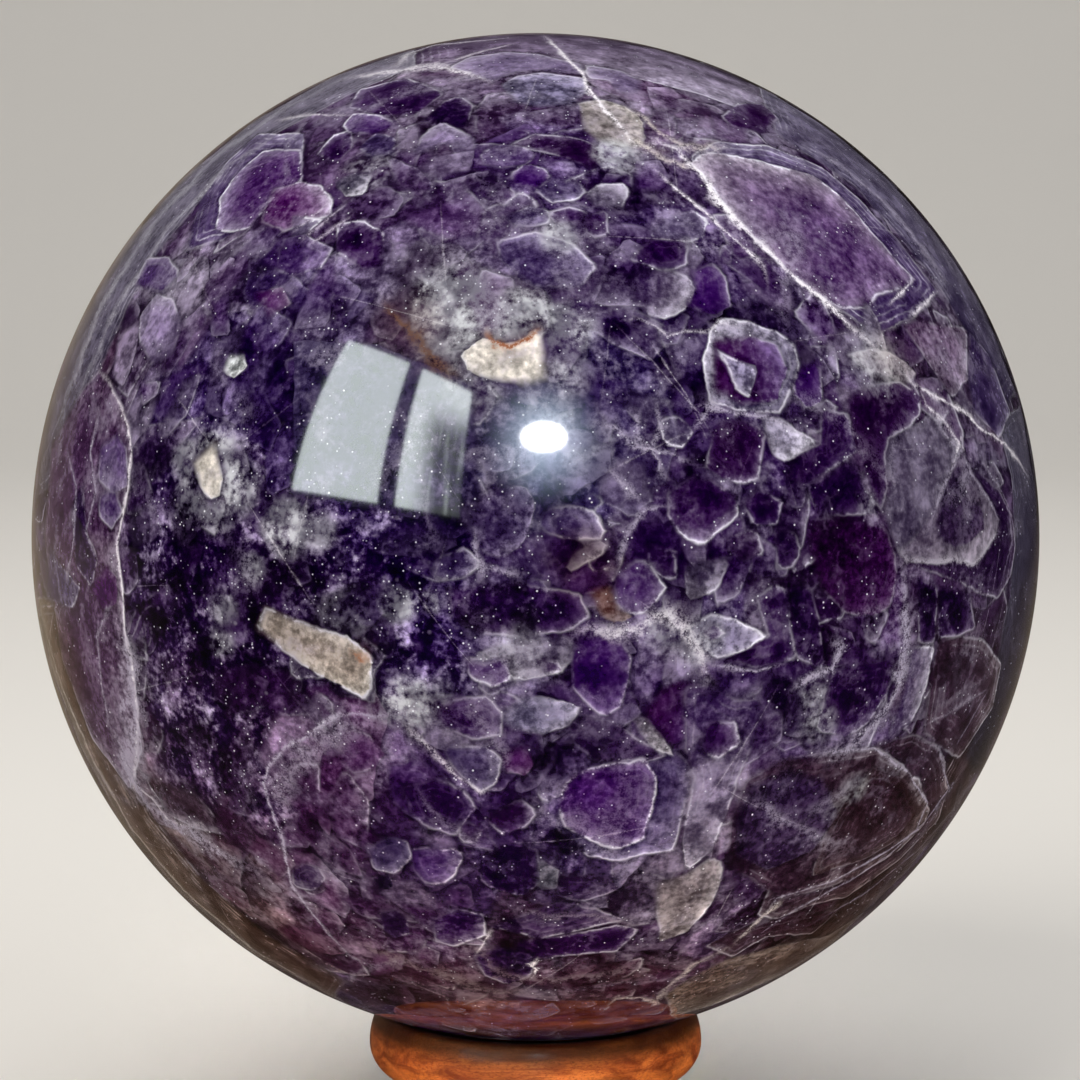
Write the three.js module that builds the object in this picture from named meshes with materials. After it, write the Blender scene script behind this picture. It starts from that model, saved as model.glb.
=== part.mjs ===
// A polished amethyst ball resting in a turned wooden ring stand.
// Millimetres, +Z up. The origin is the centre of the stand's underside, and -Y is the front.
import * as THREE from "three";

// Ball
const BALL_DIAMETER = 100;
const BALL_SEGMENTS_ROUND = 56;
const BALL_SEGMENTS_UP = 28;

// Where the ball meets the stand
const SEAT_CLEARANCE = 0.3; // between the ball and the hollow turned for it
const SEAT_RADIUS = 15; // outer edge of that hollow

// Foot of the stand
const FOOT_RADIUS = 18;
const FOOT_ROUNDING = 2; // radius of the half-round bead at the foot's edge

// Neck, the hollow between the foot and the rim
const NECK_HEIGHT = 4;
const NECK_PULL = 12.2; // radius that the hollow's curve is drawn in towards

// Rim, a swelling that turns under more tightly than it rises
const RIM_RADIUS = 16.9;
const RIM_UNDER_ROUNDING = 3.2;
const RIM_UPPER_ROUNDING = 7;
const RIM_RISE = 3.1; // from the rim's widest line up to the start of its lip
const LIP_RISE = 0.38; // from there up to the outer edge of the seat
const LIP_WIDTH = 0.85; // width of the rounding over the lip

// Bore through the stand
const BORE_RADIUS = 9.5;
const BORE_CHAMFER = 0.6;

const STAND_SEGMENTS_ROUND = 56;

const ballRadius = BALL_DIAMETER / 2;
const hollowRadius = ballRadius + SEAT_CLEARANCE;

// Heights above the table
const footTop = 2 * FOOT_ROUNDING;
const rimBottom = footTop + NECK_HEIGHT;
const rimMiddle = rimBottom + RIM_UNDER_ROUNDING;
const lipStart = rimMiddle + RIM_RISE;
const seatEdge = lipStart + LIP_RISE;
const ballCentre = seatEdge + dropBelowCentre(SEAT_RADIUS);

// How far below the ball's centre the hollow lies at a given radius.
function dropBelowCentre(radius) {
  return Math.sqrt(hollowRadius ** 2 - radius ** 2);
}

function hollowHeight(radius) {
  return ballCentre - dropBelowCentre(radius);
}

// Points on an arc about (centreR, centreZ), both ends included; angles in degrees from outwards.
function arcPoints(centreR, centreZ, radius, fromAngle, toAngle, steps) {
  const points = [];
  for (let i = 0; i <= steps; i++) {
    const angle = THREE.MathUtils.degToRad(fromAngle + ((toAngle - fromAngle) * i) / steps);
    points.push(
      new THREE.Vector2(centreR + radius * Math.cos(angle), centreZ + radius * Math.sin(angle)),
    );
  }
  return points;
}

// The half-round edge of the foot, from the table up.
function footPoints() {
  return arcPoints(FOOT_RADIUS - FOOT_ROUNDING, FOOT_ROUNDING, FOOT_ROUNDING, -90, 90, 8);
}

// The hollow neck, which leaves the foot and meets the rim's underside level.
function neckPoints() {
  const neck = new THREE.CubicBezierCurve(
    new THREE.Vector2(FOOT_RADIUS - FOOT_ROUNDING, footTop),
    new THREE.Vector2(NECK_PULL, footTop),
    new THREE.Vector2(NECK_PULL, rimBottom),
    new THREE.Vector2(RIM_RADIUS - RIM_UNDER_ROUNDING, rimBottom),
  );
  return neck.getPoints(9).slice(1, -1);
}

// The swelling rim, from its underside round to the start of the lip.
function rimPoints() {
  const upperAngle = THREE.MathUtils.radToDeg(Math.asin(RIM_RISE / RIM_UPPER_ROUNDING));
  const under = arcPoints(
    RIM_RADIUS - RIM_UNDER_ROUNDING, rimMiddle, RIM_UNDER_ROUNDING, -90, 0, 6,
  );
  const upper = arcPoints(
    RIM_RADIUS - RIM_UPPER_ROUNDING, rimMiddle, RIM_UPPER_ROUNDING, 0, upperAngle, 3,
  );
  return [...under, ...upper.slice(1)];
}

// The rounding over the lip, from the rim to the outer edge of the seat.
function lipPoints(rimEnd) {
  const lipRadius = SEAT_RADIUS + LIP_WIDTH;
  const lip = new THREE.QuadraticBezierCurve(
    rimEnd,
    new THREE.Vector2(lipRadius, hollowHeight(lipRadius)),
    new THREE.Vector2(SEAT_RADIUS, seatEdge),
  );
  return lip.getPoints(4).slice(1);
}

// The seat, a ring of the hollow that the ball rests in, from its outer edge to the bore.
function seatPoints() {
  const steps = 4;
  const points = [];
  for (let i = 1; i <= steps; i++) {
    const radius = SEAT_RADIUS + ((BORE_RADIUS - SEAT_RADIUS) * i) / steps;
    points.push(new THREE.Vector2(radius, hollowHeight(radius)));
  }
  return points;
}

// The straight bore with a small chamfer where it meets the table.
function borePoints() {
  return [
    new THREE.Vector2(BORE_RADIUS, BORE_CHAMFER),
    new THREE.Vector2(BORE_RADIUS + BORE_CHAMFER, 0),
  ];
}

function makeStand() {
  const rim = rimPoints();
  const profile = [
    ...footPoints(),
    ...neckPoints(),
    ...rim,
    ...lipPoints(rim.at(-1)),
    ...seatPoints(),
    ...borePoints(),
  ];
  profile.push(profile[0].clone());
  const geometry = new THREE.LatheGeometry(profile, STAND_SEGMENTS_ROUND);
  geometry.rotateX(Math.PI / 2);
  const wood = new THREE.MeshStandardMaterial({ color: 0x9a4d28, roughness: 0.25, metalness: 0 });
  const stand = new THREE.Mesh(geometry, wood);
  stand.name = "ring_stand";
  return stand;
}

function makeBall() {
  const geometry = new THREE.SphereGeometry(ballRadius, BALL_SEGMENTS_ROUND, BALL_SEGMENTS_UP);
  geometry.rotateX(Math.PI / 2);
  const stone = new THREE.MeshStandardMaterial({ color: 0x4b3266, roughness: 0.05, metalness: 0 });
  const ball = new THREE.Mesh(geometry, stone);
  ball.name = "amethyst_ball";
  ball.position.z = ballCentre;
  return ball;
}

const sphereOnStand = new THREE.Group();
sphereOnStand.name = "sphere_on_stand";
sphereOnStand.add(makeStand(), makeBall());

export default sphereOnStand;
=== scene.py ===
"""A polished amethyst ball resting in a turned wooden ring stand, laid out as a Blender add-on."""

import math
from types import SimpleNamespace

import bpy
import numpy as np
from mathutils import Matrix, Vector


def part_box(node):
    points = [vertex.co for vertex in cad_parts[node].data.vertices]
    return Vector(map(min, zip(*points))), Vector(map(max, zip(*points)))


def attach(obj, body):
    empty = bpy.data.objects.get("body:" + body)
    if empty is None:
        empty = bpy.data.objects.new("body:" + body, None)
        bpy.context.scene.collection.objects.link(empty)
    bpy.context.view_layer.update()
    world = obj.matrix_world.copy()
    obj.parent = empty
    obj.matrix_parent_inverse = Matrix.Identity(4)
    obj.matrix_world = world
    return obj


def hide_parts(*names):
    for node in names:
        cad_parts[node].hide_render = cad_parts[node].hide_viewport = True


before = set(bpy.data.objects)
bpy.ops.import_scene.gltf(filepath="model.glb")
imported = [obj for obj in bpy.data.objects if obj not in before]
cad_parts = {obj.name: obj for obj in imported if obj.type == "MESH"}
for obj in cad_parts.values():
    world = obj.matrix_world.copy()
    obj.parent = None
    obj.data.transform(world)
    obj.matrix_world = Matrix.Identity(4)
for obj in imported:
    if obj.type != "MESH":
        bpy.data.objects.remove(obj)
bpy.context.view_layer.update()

bl_info = {
    "name": "Amethyst Ball on a Ring Stand",
    "version": (1, 0, 0),
    "blender": (4, 5, 0),
    "location": "View3D > Sidebar > Amethyst",
    "description": "Makes a polished amethyst ball, its turned wooden ring stand and a plain studio",
    "category": "Add Mesh",
}

BALL_NODE = "amethyst_ball"
STAND_NODE = "ring_stand"
MM = 0.001

ball_low, ball_high = (Vector(corner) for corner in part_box(BALL_NODE))
_, stand_high = (Vector(corner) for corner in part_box(STAND_NODE))
BALL_CENTRE = (ball_low + ball_high) / 2
BALL_RADIUS = (ball_high.z - ball_low.z) / 2
RADIUS_MM = BALL_RADIUS / MM

# Where the ball is seen from. Every place on the stone is given as it looks from here.
VIEW_DISTANCE = 0.335
VIEW_ELEVATION = math.radians(6.5)
PHOTO_WIDTH = 1080
BALL_OUTLINE_PIXELS = 504  # radius of the ball's outline in the picture
BALL_CENTRE_PIXELS = (535.5, 537.0)

# The stone's colours
INK = "#0e031a"
LINE = "#d0ccda"
FROST = "#c9cccf"
GROUND = "#54406e"
PALE_RIM = "#a99db8"
MIST = "#857a94"
THIN_MIST = "#8d829b"
DUST = "#6c6a76"
VEIL = "#9586a8"
THREAD = "#a79cb4"
# brown of smoky quartz, and painted edge light along the lower outline
SMOKE_AND_EDGE_LIGHT = "#b08f7a"
FLECK = "#eaeaf0"
GLINT = "#cfd0da"

# Colours of the wood and the studio
LIGHT_WOOD = "#cc7232"
DARK_WOOD = "#73260a"
PAINTED_SHADE_WOOD = "#240803"  # painted shade close under the ball, where the ball keeps the light off the rim
FLOOR = "#ebe6de"
MIRRORED_FRONT = "#26211d"
MIRRORED_BACK = "#a8987f"
WHITE_LIGHT = (1.0, 1.0, 1.0)

# How the materials are laid out
BROAD_CLOUDS = 0.12  # sizes of the stone's noise, in waves to a millimetre
CLOUDS = 0.34
FINE_GRAIN = 1.5
TINY_GRAIN = 6.0
BAND_TURN = 8.2  # how far the wave of the growth bands turns in a millimetre, in radians
OUTLINE_MM = 0.14  # half width of a crystal's outline
QUARTZ_IOR = 1.544
LACQUER_IOR = 1.5
HALF = (0.5, 0.5, 0.5)

# How a cut crystal looks: the colour at its heart and at its rim, how many millimetres the rim's
# colour reaches inwards (or "side" where it lies along one side), and how strong its white
# outline, its growth bands, its cover over what lies below and its grain are, from 0 to 1.
LOOKS = {
    "smoke brown": ("#281a20", "#4e3e42", "side", 0.15, 0.3, 0.8, 0.5),
    "smoke violet": ("#21142b", "#43314e", "side", 0.1, 0.0, 0.8, 0.6),
    # painted shade along the ball's right outline, darkest towards the bottom
    "rim east": ("#22202b", "#595468", "side", 0.3, 0.3, 0.9, 0.2),
    "quiet": ("#2c2340", "#453b5a", 3.0, 0.0, 0.0, 0.9, 0.6),
    "etched": ("#51466a", "#958ba8", 1.0, 1.0, 0.0, 1.0, 0.6),
    # painted edge light: the paler, browner light that shines through the ball's thin outline, for the
    # bands along it
    "rim brown": ("#30272a", "#655853", "side", 0.4, 0.9, 0.8, 0.3),
    "rim pink": ("#574163", "#a094ac", "side", 0.4, 0.9, 0.8, 0.3),
    "rim tan": ("#574640", "#917e6c", "side", 0.4, 0.9, 0.8, 0.3),
    "rim violet": ("#463d5a", "#827a95", "side", 0.4, 0.9, 0.8, 0.2),
    "rim grey": ("#4c465a", "#9a95a6", "side", 0.4, 0.9, 0.8, 0.2),
    "dim sand": ("#6f6366", "#a3989a", 1.2, 0.5, 0.1, 0.9, 0.5),
    "dim violet": ("#22122d", "#483554", 1.1, 0.5, 0.2, 0.93, 0.35),
    "smoky dark": ("#2a1b26", "#4b3a44", 1.5, 0.5, 0.3, 0.9, 0.3),
    "dark mottled": ("#372849", "#685880", 1.5, 0.2, 0.0, 0.75, 0.9),
    "pink lens": ("#400c4c", "#a08caa", 1.9, 0.85, 0.15, 1.0, 0.35),
    "blade": ("#380c50", "#897a9c", 2.1, 1.0, 0.25, 1.0, 0.25),
    "deep": ("#1b0628", "#4a345f", 0.9, 0.5, 0.15, 0.97, 0.25),
    "vivid": ("#2e0a4a", "#563a72", 1.0, 0.5, 0.1, 1.0, 0.2),
    "violet": ("#41245e", "#77628f", 1.1, 0.5, 0.3, 0.95, 0.3),
    "blue violet": ("#360c50", "#60467a", 1.2, 1.0, 0.2, 1.0, 0.35),
    "magenta": ("#431050", "#66456f", 1.0, 0.25, 0.0, 0.9, 0.25),
    "orchid": ("#391a52", "#69537f", 0.9, 0.8, 0.2, 1.0, 0.2),
    "plum": ("#220a30", "#604a73", 1.0, 0.75, 0.1, 0.95, 0.25),
    "dark plum": ("#1b0624", "#4e3560", 0.8, 0.6, 0.0, 0.97, 0.2),
    "great plum": ("#17061c", "#471f52", "side", 0.35, 0.0, 0.88, 0.55),
    "wine": ("#2e0a36", "#5b3d78", "side", 0.35, 0.0, 0.95, 0.2),
    "black violet": ("#160722", "#3d264e", 0.8, 0.45, 0.0, 0.9, 0.5),
    "black": ("#07030c", "#20152d", 0.5, 0.05, 0.0, 0.95, 0.2),
    "grey violet": ("#34254a", "#685982", 1.2, 0.6, 0.15, 0.85, 0.4),
    "lilac": ("#6a5680", "#9a8aab", 1.3, 0.5, 0.2, 0.9, 0.35),
    "lilac side": ("#3a264e", "#958aa0", "side", 0.8, 0.3, 0.95, 0.35),
    "milky": ("#51465f", "#9b91a6", 1.3, 0.6, 0.1, 0.88, 0.45),
    "misty": ("#483e54", "#7c7288", 1.3, 0.35, 0.0, 0.92, 0.3),
    "misty side": ("#3f314a", "#867a8b", "side", 0.5, 0.1, 0.95, 0.35),
    "milk side": ("#382749", "#a59bb0", "side", 0.7, 0.1, 0.95, 0.35),
    "milk blue": ("#6c6488", "#a198b4", 1.0, 0.35, 0.0, 0.85, 0.6),
    "pale": ("#7d7490", "#c2bcca", 1.2, 0.7, 0.0, 0.97, 0.6),
    "glass": ("#6d5f86", "#8a7ea0", 1.0, 0.9, 0.0, 0.5, 0.2),
    "ringed": ("#5d5274", "#a097ae", "side", 1.0, 0.5, 0.97, 0.6),
    "banded": ("#46325f", "#7d7094", 1.8, 0.7, 1.0, 0.92, 0.2),
    "tongue": ("#46265a", "#a698a9", 3.2, 1.0, 0.15, 0.97, 0.25),
    "lobe": ("#4a3050", "#948399", 2.0, 0.5, 0.25, 0.85, 0.6),
    "white quartz": ("#aeb3b5", "#d7dad8", 0.8, 0.4, 0.0, 0.98, 0.7),
    "dim quartz": ("#56555f", "#6f6d78", 1.2, 0.1, 0.0, 0.75, 0.8),
    "cream": ("#c6bdb3", "#dad2c8", 0.5, 0.5, 0.0, 1.0, 0.3),
    "beige": ("#8f8077", "#d0c4b6", 0.8, 0.95, 0.0, 1.0, 0.45),
    "parchment": ("#857b79", "#bbb2a9", 0.9, 0.35, 0.0, 0.88, 0.45),
    "sand": ("#8c8492", "#bcb4bc", 1.2, 0.3, 0.1, 0.8, 0.8),
    "amber": ("#6b4a4a", "#8a7068", 0.8, 0.1, 0.0, 0.85, 0.5),
    "smoky": ("#30232f", "#5f4f58", 1.6, 0.5, 0.4, 0.92, 0.4),
    "great smoky": ("#30202f", "#5d4f52", "side", 0.6, 0.3, 0.97, 0.5),
    "tan": ("#665652", "#a4958a", 1.6, 0.5, 0.4, 0.95, 0.9),
}

# Crystals of the front, lowest first: name, look, outline as (across, up) in millimetres from the
# ball's middle on a ball that looks 100 mm wide, and for some the direction of the pale side.
CRYSTALS = [
    # The first six bands follow the ball's outline and are no crystals: painted edge light, and on the east
    # side painted shade
    ("north band", "rim pink", [(-12, 48.6), (-4, 49.8), (4, 49.8), (12, 48.4), (18, 46.5), (24, 43.8),
     (23, 41.5), (16, 44), (8, 46), (0, 47), (-6, 46.8), (-12, 46.4)], -60),
    ("south-east band", "rim brown", [(47.2, -14), (45.5, -20), (42, -26.5), (37, -33), (30.5, -39.2),
     (23, -44.2), (14, -48), (13, -46), (21, -42.4), (28, -38), (34, -32.4), (39, -26), (42.5, -19.5),
     (45, -13)], -40),
    ("north-west band", "rim grey", [(-49.5, 4), (-48.5, 12), (-45.5, 20.5), (-41, 28.5), (-35, 35.5),
     (-28, 41.2), (-20, 45.7), (-12, 48.4), (-12, 46.8), (-19, 43.6), (-26, 39.9), (-31.5, 35.5),
     (-36.5, 29.5), (-40.5, 23), (-43.5, 16), (-45, 8)], 150),
    ("north-east band", "rim violet", [(22, 44.8), (29, 40.6), (35.5, 35), (41, 28.4), (45.2, 21),
     (47.6, 14.5), (46, 12.5), (43, 20), (40, 25), (36, 30), (31.5, 35), (24, 40)], 30),
    # The east band is painted shade along the ball's right outline, not a crystal
    ("east band", "rim east", [(48, 13), (49.8, 7), (49.9, 0), (49.4, -8), (47.4, -15.5), (44, -23.5),
     (42.6, -22), (45.5, -14), (47, -6), (47.6, 0), (47.2, 6), (46, 11)], 100),
    ("south-west band", "rim tan", [(-49.4, -6), (-48, -13), (-45, -21), (-41, -28.5), (-35.5, -35),
     (-28.5, -41), (-20, -45.7), (-19, -44), (-26.5, -39.6), (-33, -34), (-38, -27.8), (-42, -20.5),
     (-45.5, -12), (-47, -6)], 200),
    ("window ground", "quiet", [(-24, 19.5), (-15.5, 19), (-9.5, 16.5), (-6.5, 15), (-5.5, 4), (-12, 2.5),
     (-24, 4.5)]),
    ("left lobe", "lobe", [(-45, 14.5), (-43.3, 16.5), (-42.4, 15.5), (-41.2, 13.5), (-40.3, 11), (-40, 8),
     (-40.4, 5), (-41, 2), (-41.4, -1), (-40.9, -5), (-40.7, -9), (-39.9, -13), (-39.4, -17), (-39.1, -21),
     (-40.2, -25), (-44, -20), (-47, -12), (-48.7, 0), (-48, 9)]),
    ("outer shell right", "dim violet", [(43.8, 6.6), (46, 4.6), (47.3, 2), (47.6, -1), (47.1, -4),
     (45.8, -6), (44.2, -5.6), (42, -4.3), (38, -3.2), (40, 3)]),
    ("outer tongue", "banded", [(15.3, 37.6), (18, 39.1), (23, 38.8), (28.5, 36.6), (32, 33.6), (36, 29.3),
     (39.9, 24.3), (37.2, 21.7), (34, 20), (28, 24), (20, 32)]),
    ("outer blade", "banded", [(-34.5, 28.5), (-33.2, 33.5), (-30.5, 37.3), (-27.5, 40), (-23, 40),
     (-23.2, 35.5), (-27, 33), (-31, 29.5)]),
    ("smoky shell", "smoky", [(22, -37.6), (24, -37.9), (27, -36.6), (31, -35.6), (36, -32.1), (40, -28),
     (40.9, -25), (40.5, -22), (39.5, -20.4), (37.5, -19.6), (34, -20.4), (28, -24)]),
    ("lower round", "smoky", [(39.9, -10.4), (42, -9.7), (44.5, -10.3), (46.2, -12.6), (45.3, -17),
     (42, -22), (38.5, -19.5), (39.3, -14)]),
    ("hexagon shell", "grey violet", [(2, -28.6), (5, -31.6), (8, -32.2), (10.5, -31.6), (13.7, -31.1),
     (14.4, -28), (15.2, -25), (15.1, -22.4), (13.8, -21.2), (10.8, -21.6), (5, -23)]),
    ("tan edge", "tan", [(13, -45.4), (16, -43.4), (19, -41.9), (24, -40.6), (29, -39.6), (32.4, -37.4),
     (29.5, -40.3), (24, -43.6), (18, -46.3), (13.5, -47.6)]),
    ("grey body", "grey violet", [(-4.2, 29.4), (0, 30.4), (4, 29), (6.1, 26.8), (4.5, 24.9), (0, 24.9),
     (-3, 27)]),
    ("dark drift", "black violet", [(-8.6, -5.3), (-5, -4.6), (0, -4.9), (4.6, -5.6), (5.5, -8), (3, -9.4),
     (-2, -10), (-5.5, -9.5), (-8.4, -8)]),
    ("inner blade", "blade", [(-31.8, 30.3), (-31.2, 33.8), (-29.5, 36.2), (-27, 38.3), (-23.3, 38.4),
     (-23.2, 35.3), (-26, 33.6), (-28.5, 30.6)], 200),
    ("plum lens", "pink lens", [(-27.2, 31.3), (-26, 34.4), (-23.4, 35.3), (-21.3, 34.8), (-20.2, 33.3),
     (-20.3, 32), (-22.2, 31.3), (-25, 30.4)], 30),
    ("white triangle", "glass", [(-24.1, 31.8), (-21.2, 31.5), (-24, 29.1)]),
    ("dark hexagon", "violet", [(-27.2, 27.3), (-25.5, 29.4), (-22.9, 29.9), (-20.2, 28.6), (-21.2, 26.8),
     (-24, 25.9)]),
    ("magenta chip", "magenta", [(-27.7, 24.1), (-25, 24.9), (-24.4, 23.2), (-26.3, 22.1)]),
    ("upper rhomb", "plum", [(-21.6, 38), (-20, 40), (-18.4, 40.3), (-18.1, 38.8), (-19.7, 37.1)]),
    ("north night", "plum", [(-17.5, 44.4), (-12.9, 45.5), (-9.2, 44), (-11.5, 42.1), (-15.6, 41.7),
     (-18.4, 42.6)]),
    ("upper bar", "orchid", [(-19.2, 40.8), (-18, 42.1), (-15.3, 41.9), (-13.8, 40.9), (-16, 39.9),
     (-18.4, 40.2)]),
    ("grey rhomb", "grey violet", [(-17.4, 38.6), (-16, 40.1), (-13.8, 39.6), (-14.2, 38), (-16.3, 37.6)]),
    ("pale chip", "pale", [(-19.9, 35.2), (-18, 36), (-16.4, 35.8), (-17, 34.1), (-18.8, 33.8)]),
    ("dark pair", "plum", [(-19.6, 31), (-17, 31.4), (-15.1, 30.1), (-15.4, 27.1), (-17.2, 26.6),
     (-19.6, 28)]),
    ("pink pebble", "lilac", [(-39.3, 19.3), (-39.2, 22), (-37.6, 24), (-35.9, 23.7), (-35.2, 21),
     (-36, 18.2), (-38, 17.4)]),
    ("left violet", "violet", [(-39.7, 25), (-38.6, 27.7), (-36.4, 27.6), (-35.2, 26), (-37, 24.4)]),
    ("white fleck", "white quartz", [(-30.9, 16.4), (-30.4, 17.9), (-28.9, 18), (-28.6, 16.9),
     (-30, 15.7)]),
    ("top slab", "lilac", [(-8.5, 46.6), (-6.5, 47.6), (-3, 48.1), (0, 47.9), (4.4, 46.9), (4.8, 45.9),
     (0.5, 46.3), (-2.2, 46.1), (-4.2, 45.2)]),
    ("milky bar", "milk blue", [(-3.3, 44.8), (-2, 45.7), (0.5, 46.1), (4.8, 45.6), (5.1, 44.2), (3.5, 43),
     (0.5, 42.7), (-1.8, 43.2)]),
    ("right wedge", "lilac", [(5.1, 46.8), (8.5, 46.2), (10.6, 45.1), (10, 44), (8, 44.2), (7.3, 45.3),
     (5.2, 45.5)]),
    ("cream top", "parchment", [(4.3, 43.1), (6.5, 43.4), (9.1, 42.6), (10.8, 41.1), (10.9, 39.6),
     (10.2, 38.4), (8, 38.7), (6.2, 39.3), (4.9, 40.6)]),
    ("dark gem", "black violet", [(-11.1, 41.4), (-9, 43.3), (-7.4, 43.8), (-6.2, 42.8), (-7, 40.6),
     (-8.5, 40.1), (-10, 40.8)]),
    ("pink gem", "lilac", [(-12, 38), (-11.2, 39.6), (-9.4, 41.2), (-6.1, 39.5), (-5.9, 38.7), (-7.6, 38.4),
     (-9, 39)]),
    ("plum band", "dark plum", [(-2.2, 38.9), (0, 39.9), (3, 39.7), (6, 39), (6.9, 37.4), (5.5, 36.7),
     (2, 38), (-1, 38.5)]),
    ("violet cap", "violet", [(-5.4, 38), (-3.5, 38.8), (-1, 38.6), (0.1, 37.9), (-1, 36.9), (-3.5, 36.6),
     (-5.1, 37)]),
    ("small cap", "vivid", [(-2.6, 36.1), (-0.8, 37), (1.1, 36.5), (1.6, 35.5), (0, 34.6), (-2, 35)]),
    ("night gem", "black violet", [(-6.1, 35.1), (-4.5, 35.9), (-3, 34.8), (-1.7, 34), (-3, 32.9),
     (-5, 33.4)]),
    ("lens", "grey violet", [(0, 34.4), (1.5, 35.5), (4, 35.3), (5.1, 34.3), (4, 33.3), (1.5, 33.2)]),
    ("milky knuckle", "milky", [(4.8, 33.9), (6.5, 35), (8.8, 35.1), (9.3, 34), (8.5, 32.7), (6, 32.8)]),
    ("grey cap", "grey violet", [(-2.6, 31.8), (-0.5, 32.8), (1.2, 32.4), (1.6, 31.2), (-0.5, 30.7),
     (-2.3, 30.9)]),
    ("plum cap", "deep", [(1.2, 32.2), (3.5, 32.9), (5.1, 32.3), (4.5, 31.2), (2, 31)]),
    ("dark stair", "deep", [(4.9, 31.8), (7, 32.3), (7.3, 30), (6, 29.7), (5, 30.4)]),
    ("petal", "glass", [(11.1, 29.9), (13, 31.9), (15.5, 32.4), (17.1, 31.5), (16.5, 29.7), (14, 29.2)]),
    ("dark cleft", "deep", [(9.4, 27.5), (11.5, 29.5), (14.9, 29.4), (15.1, 27), (12.5, 26.5)]),
    ("half milk", "milk side", [(9.7, 25.8), (12.5, 26.4), (15.3, 25.9), (15.9, 24.4), (14.8, 22.7),
     (12.8, 21.7), (11, 22.1), (9.9, 23.8)], -40),
    ("vivid gem", "vivid", [(15.5, 26.4), (17.5, 27.1), (18.9, 25.6), (19.3, 23), (17.5, 22.2), (15.2, 23),
     (15.9, 24.5)]),
    ("tongue", "tongue", [(15.2, 37), (17, 38.1), (20, 37.8), (24, 36.8), (27.5, 35.8), (30, 34.1),
     (32, 31.9), (34.5, 28.9), (36.3, 26.9), (37.6, 25.6), (36.4, 24.8), (34, 24), (33, 22.9), (30.5, 22.6),
     (27, 24.6), (23.7, 27.5), (21, 30.2), (18, 33.9), (16.5, 36)]),
    ("dark strip", "dark plum", [(18.4, 41.7), (20, 42.9), (22.5, 42.9), (24.1, 41.5), (22.5, 40.1),
     (19.5, 40.7)]),
    ("right pane", "lobe", [(36.4, 21.1), (38, 21.5), (42.7, 20.6), (42.9, 15.5), (41.3, 14), (38.5, 18)]),
    ("far pane", "grey violet", [(43.2, 20), (45, 18), (47, 12.5), (46, 9.8), (43.5, 12.5), (42.9, 16)]),
    ("white heel", "milky", [(32.8, 23.1), (34.2, 21.2), (34.9, 18.4), (33.3, 17.6), (32.3, 20)]),
    ("rust heel", "sand", [(31, 18.1), (33, 18.6), (35.2, 18.4), (38, 16.2), (37, 15.2), (33.8, 15.4)]),
    ("ring", "ringed", [(16.6, 17.5), (17.4, 20.4), (18.4, 21.5), (21, 21.3), (24.1, 20.3), (25.6, 19.1),
     (26, 17), (25.4, 14.5), (24.2, 12.4), (20, 12.6), (17.5, 13.4)]),
    ("ring heart", "wine", [(17.8, 19.3), (21.5, 19.9), (24, 19.1), (24.9, 16.5), (24, 13.6), (20.5, 13.4),
     (18, 14.6)], 0),
    ("pale triangle", "etched", [(18, 18.4), (22.2, 16.9), (21.8, 15.4), (21, 14.1), (20, 14.7), (19, 17)]),
    ("arrow", "pale", [(22.4, 11.9), (24.4, 11.7), (28.1, 9.3), (26, 8), (24.7, 7.5), (23.7, 8),
     (22.9, 10.1)]),
    ("dark block", "dark plum", [(17.6, 10.5), (18.3, 11.4), (20, 11.6), (22, 11.1), (22.8, 10), (22.5, 8),
     (22, 5.7), (20.5, 5.2), (18.5, 5.7), (17, 7)]),
    ("kite", "deep", [(28.5, 12.8), (31.1, 12.1), (31.9, 8.5), (26.8, 4.9), (25, 5.9), (26, 8),
     (28.2, 9.3)]),
    ("wisp hollow", "black violet", [(27, 5), (30, 6.9), (31.6, 8), (33, 4.2), (34, 2.4), (31, 2.2),
     (28, 2.2)]),
    ("milk lobe", "misty", [(34.6, 8.2), (34.9, 9.6), (36.5, 10.8), (38, 11.2), (39, 12.2), (40, 11.2),
     (40.9, 9.8), (42.2, 8.6), (41.3, 6.5), (40.6, 4.9), (40, 3.2), (39.3, 1.5), (38.5, 0.2), (37.2, -1),
     (36, -1.4), (35.2, 0.4), (34.8, 2.8), (35.1, 5.5)]),
    ("dark tall", "dark plum", [(31, 13.4), (32.5, 15), (36, 15.3), (38.1, 14.4), (38.2, 12.3), (37, 11),
     (35, 9.8), (34.6, 8), (34.9, 5), (34.1, 2.9), (33, 5.4), (31.8, 9.4)]),
    ("pillar", "vivid", [(25.4, 14.4), (26.5, 16.6), (28.2, 17.4), (28.4, 13.4), (27, 12.9)]),
    ("shell", "misty side", [(36, -1.6), (37.4, -2.4), (39.8, -2.7), (41.8, -2.2), (43.4, -2.9),
     (44.5, -1.6), (45.6, 0.2), (46, 1.7), (45.3, 3.2), (44.2, 4.8), (43.3, 6.5), (42.3, 8.6), (40, 4),
     (38, 0.3)], 290),
    ("shell core", "smoke violet", [(41.6, 6.2), (40.4, 4.2), (39.9, 1.8), (39.8, 0.4), (41.4, -0.9),
     (43.2, -0.6), (44.6, 0.9), (44.4, 2.6), (43.2, 3.6), (42.4, 4.4)]),
    ("great plum", "great plum", [(27, 1.5), (29, 2.1), (32, 1.6), (34.6, 1), (35.6, -1.5), (35.9, -4),
     (35, -7), (33.5, -7.9), (31, -7.6), (28.4, -5), (27.4, -2)], -50),
    ("round pit", "black violet", [(23.9, 0.4), (25.5, 0.4), (26.3, -1.5), (25.5, -3), (24, -3.1)]),
    ("deep square", "deep", [(22, -6), (24, -4.9), (25, -5.2), (25.3, -9), (25.9, -12), (22, -13),
     (19, -12), (20.5, -10), (23, -9.8)]),
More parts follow.
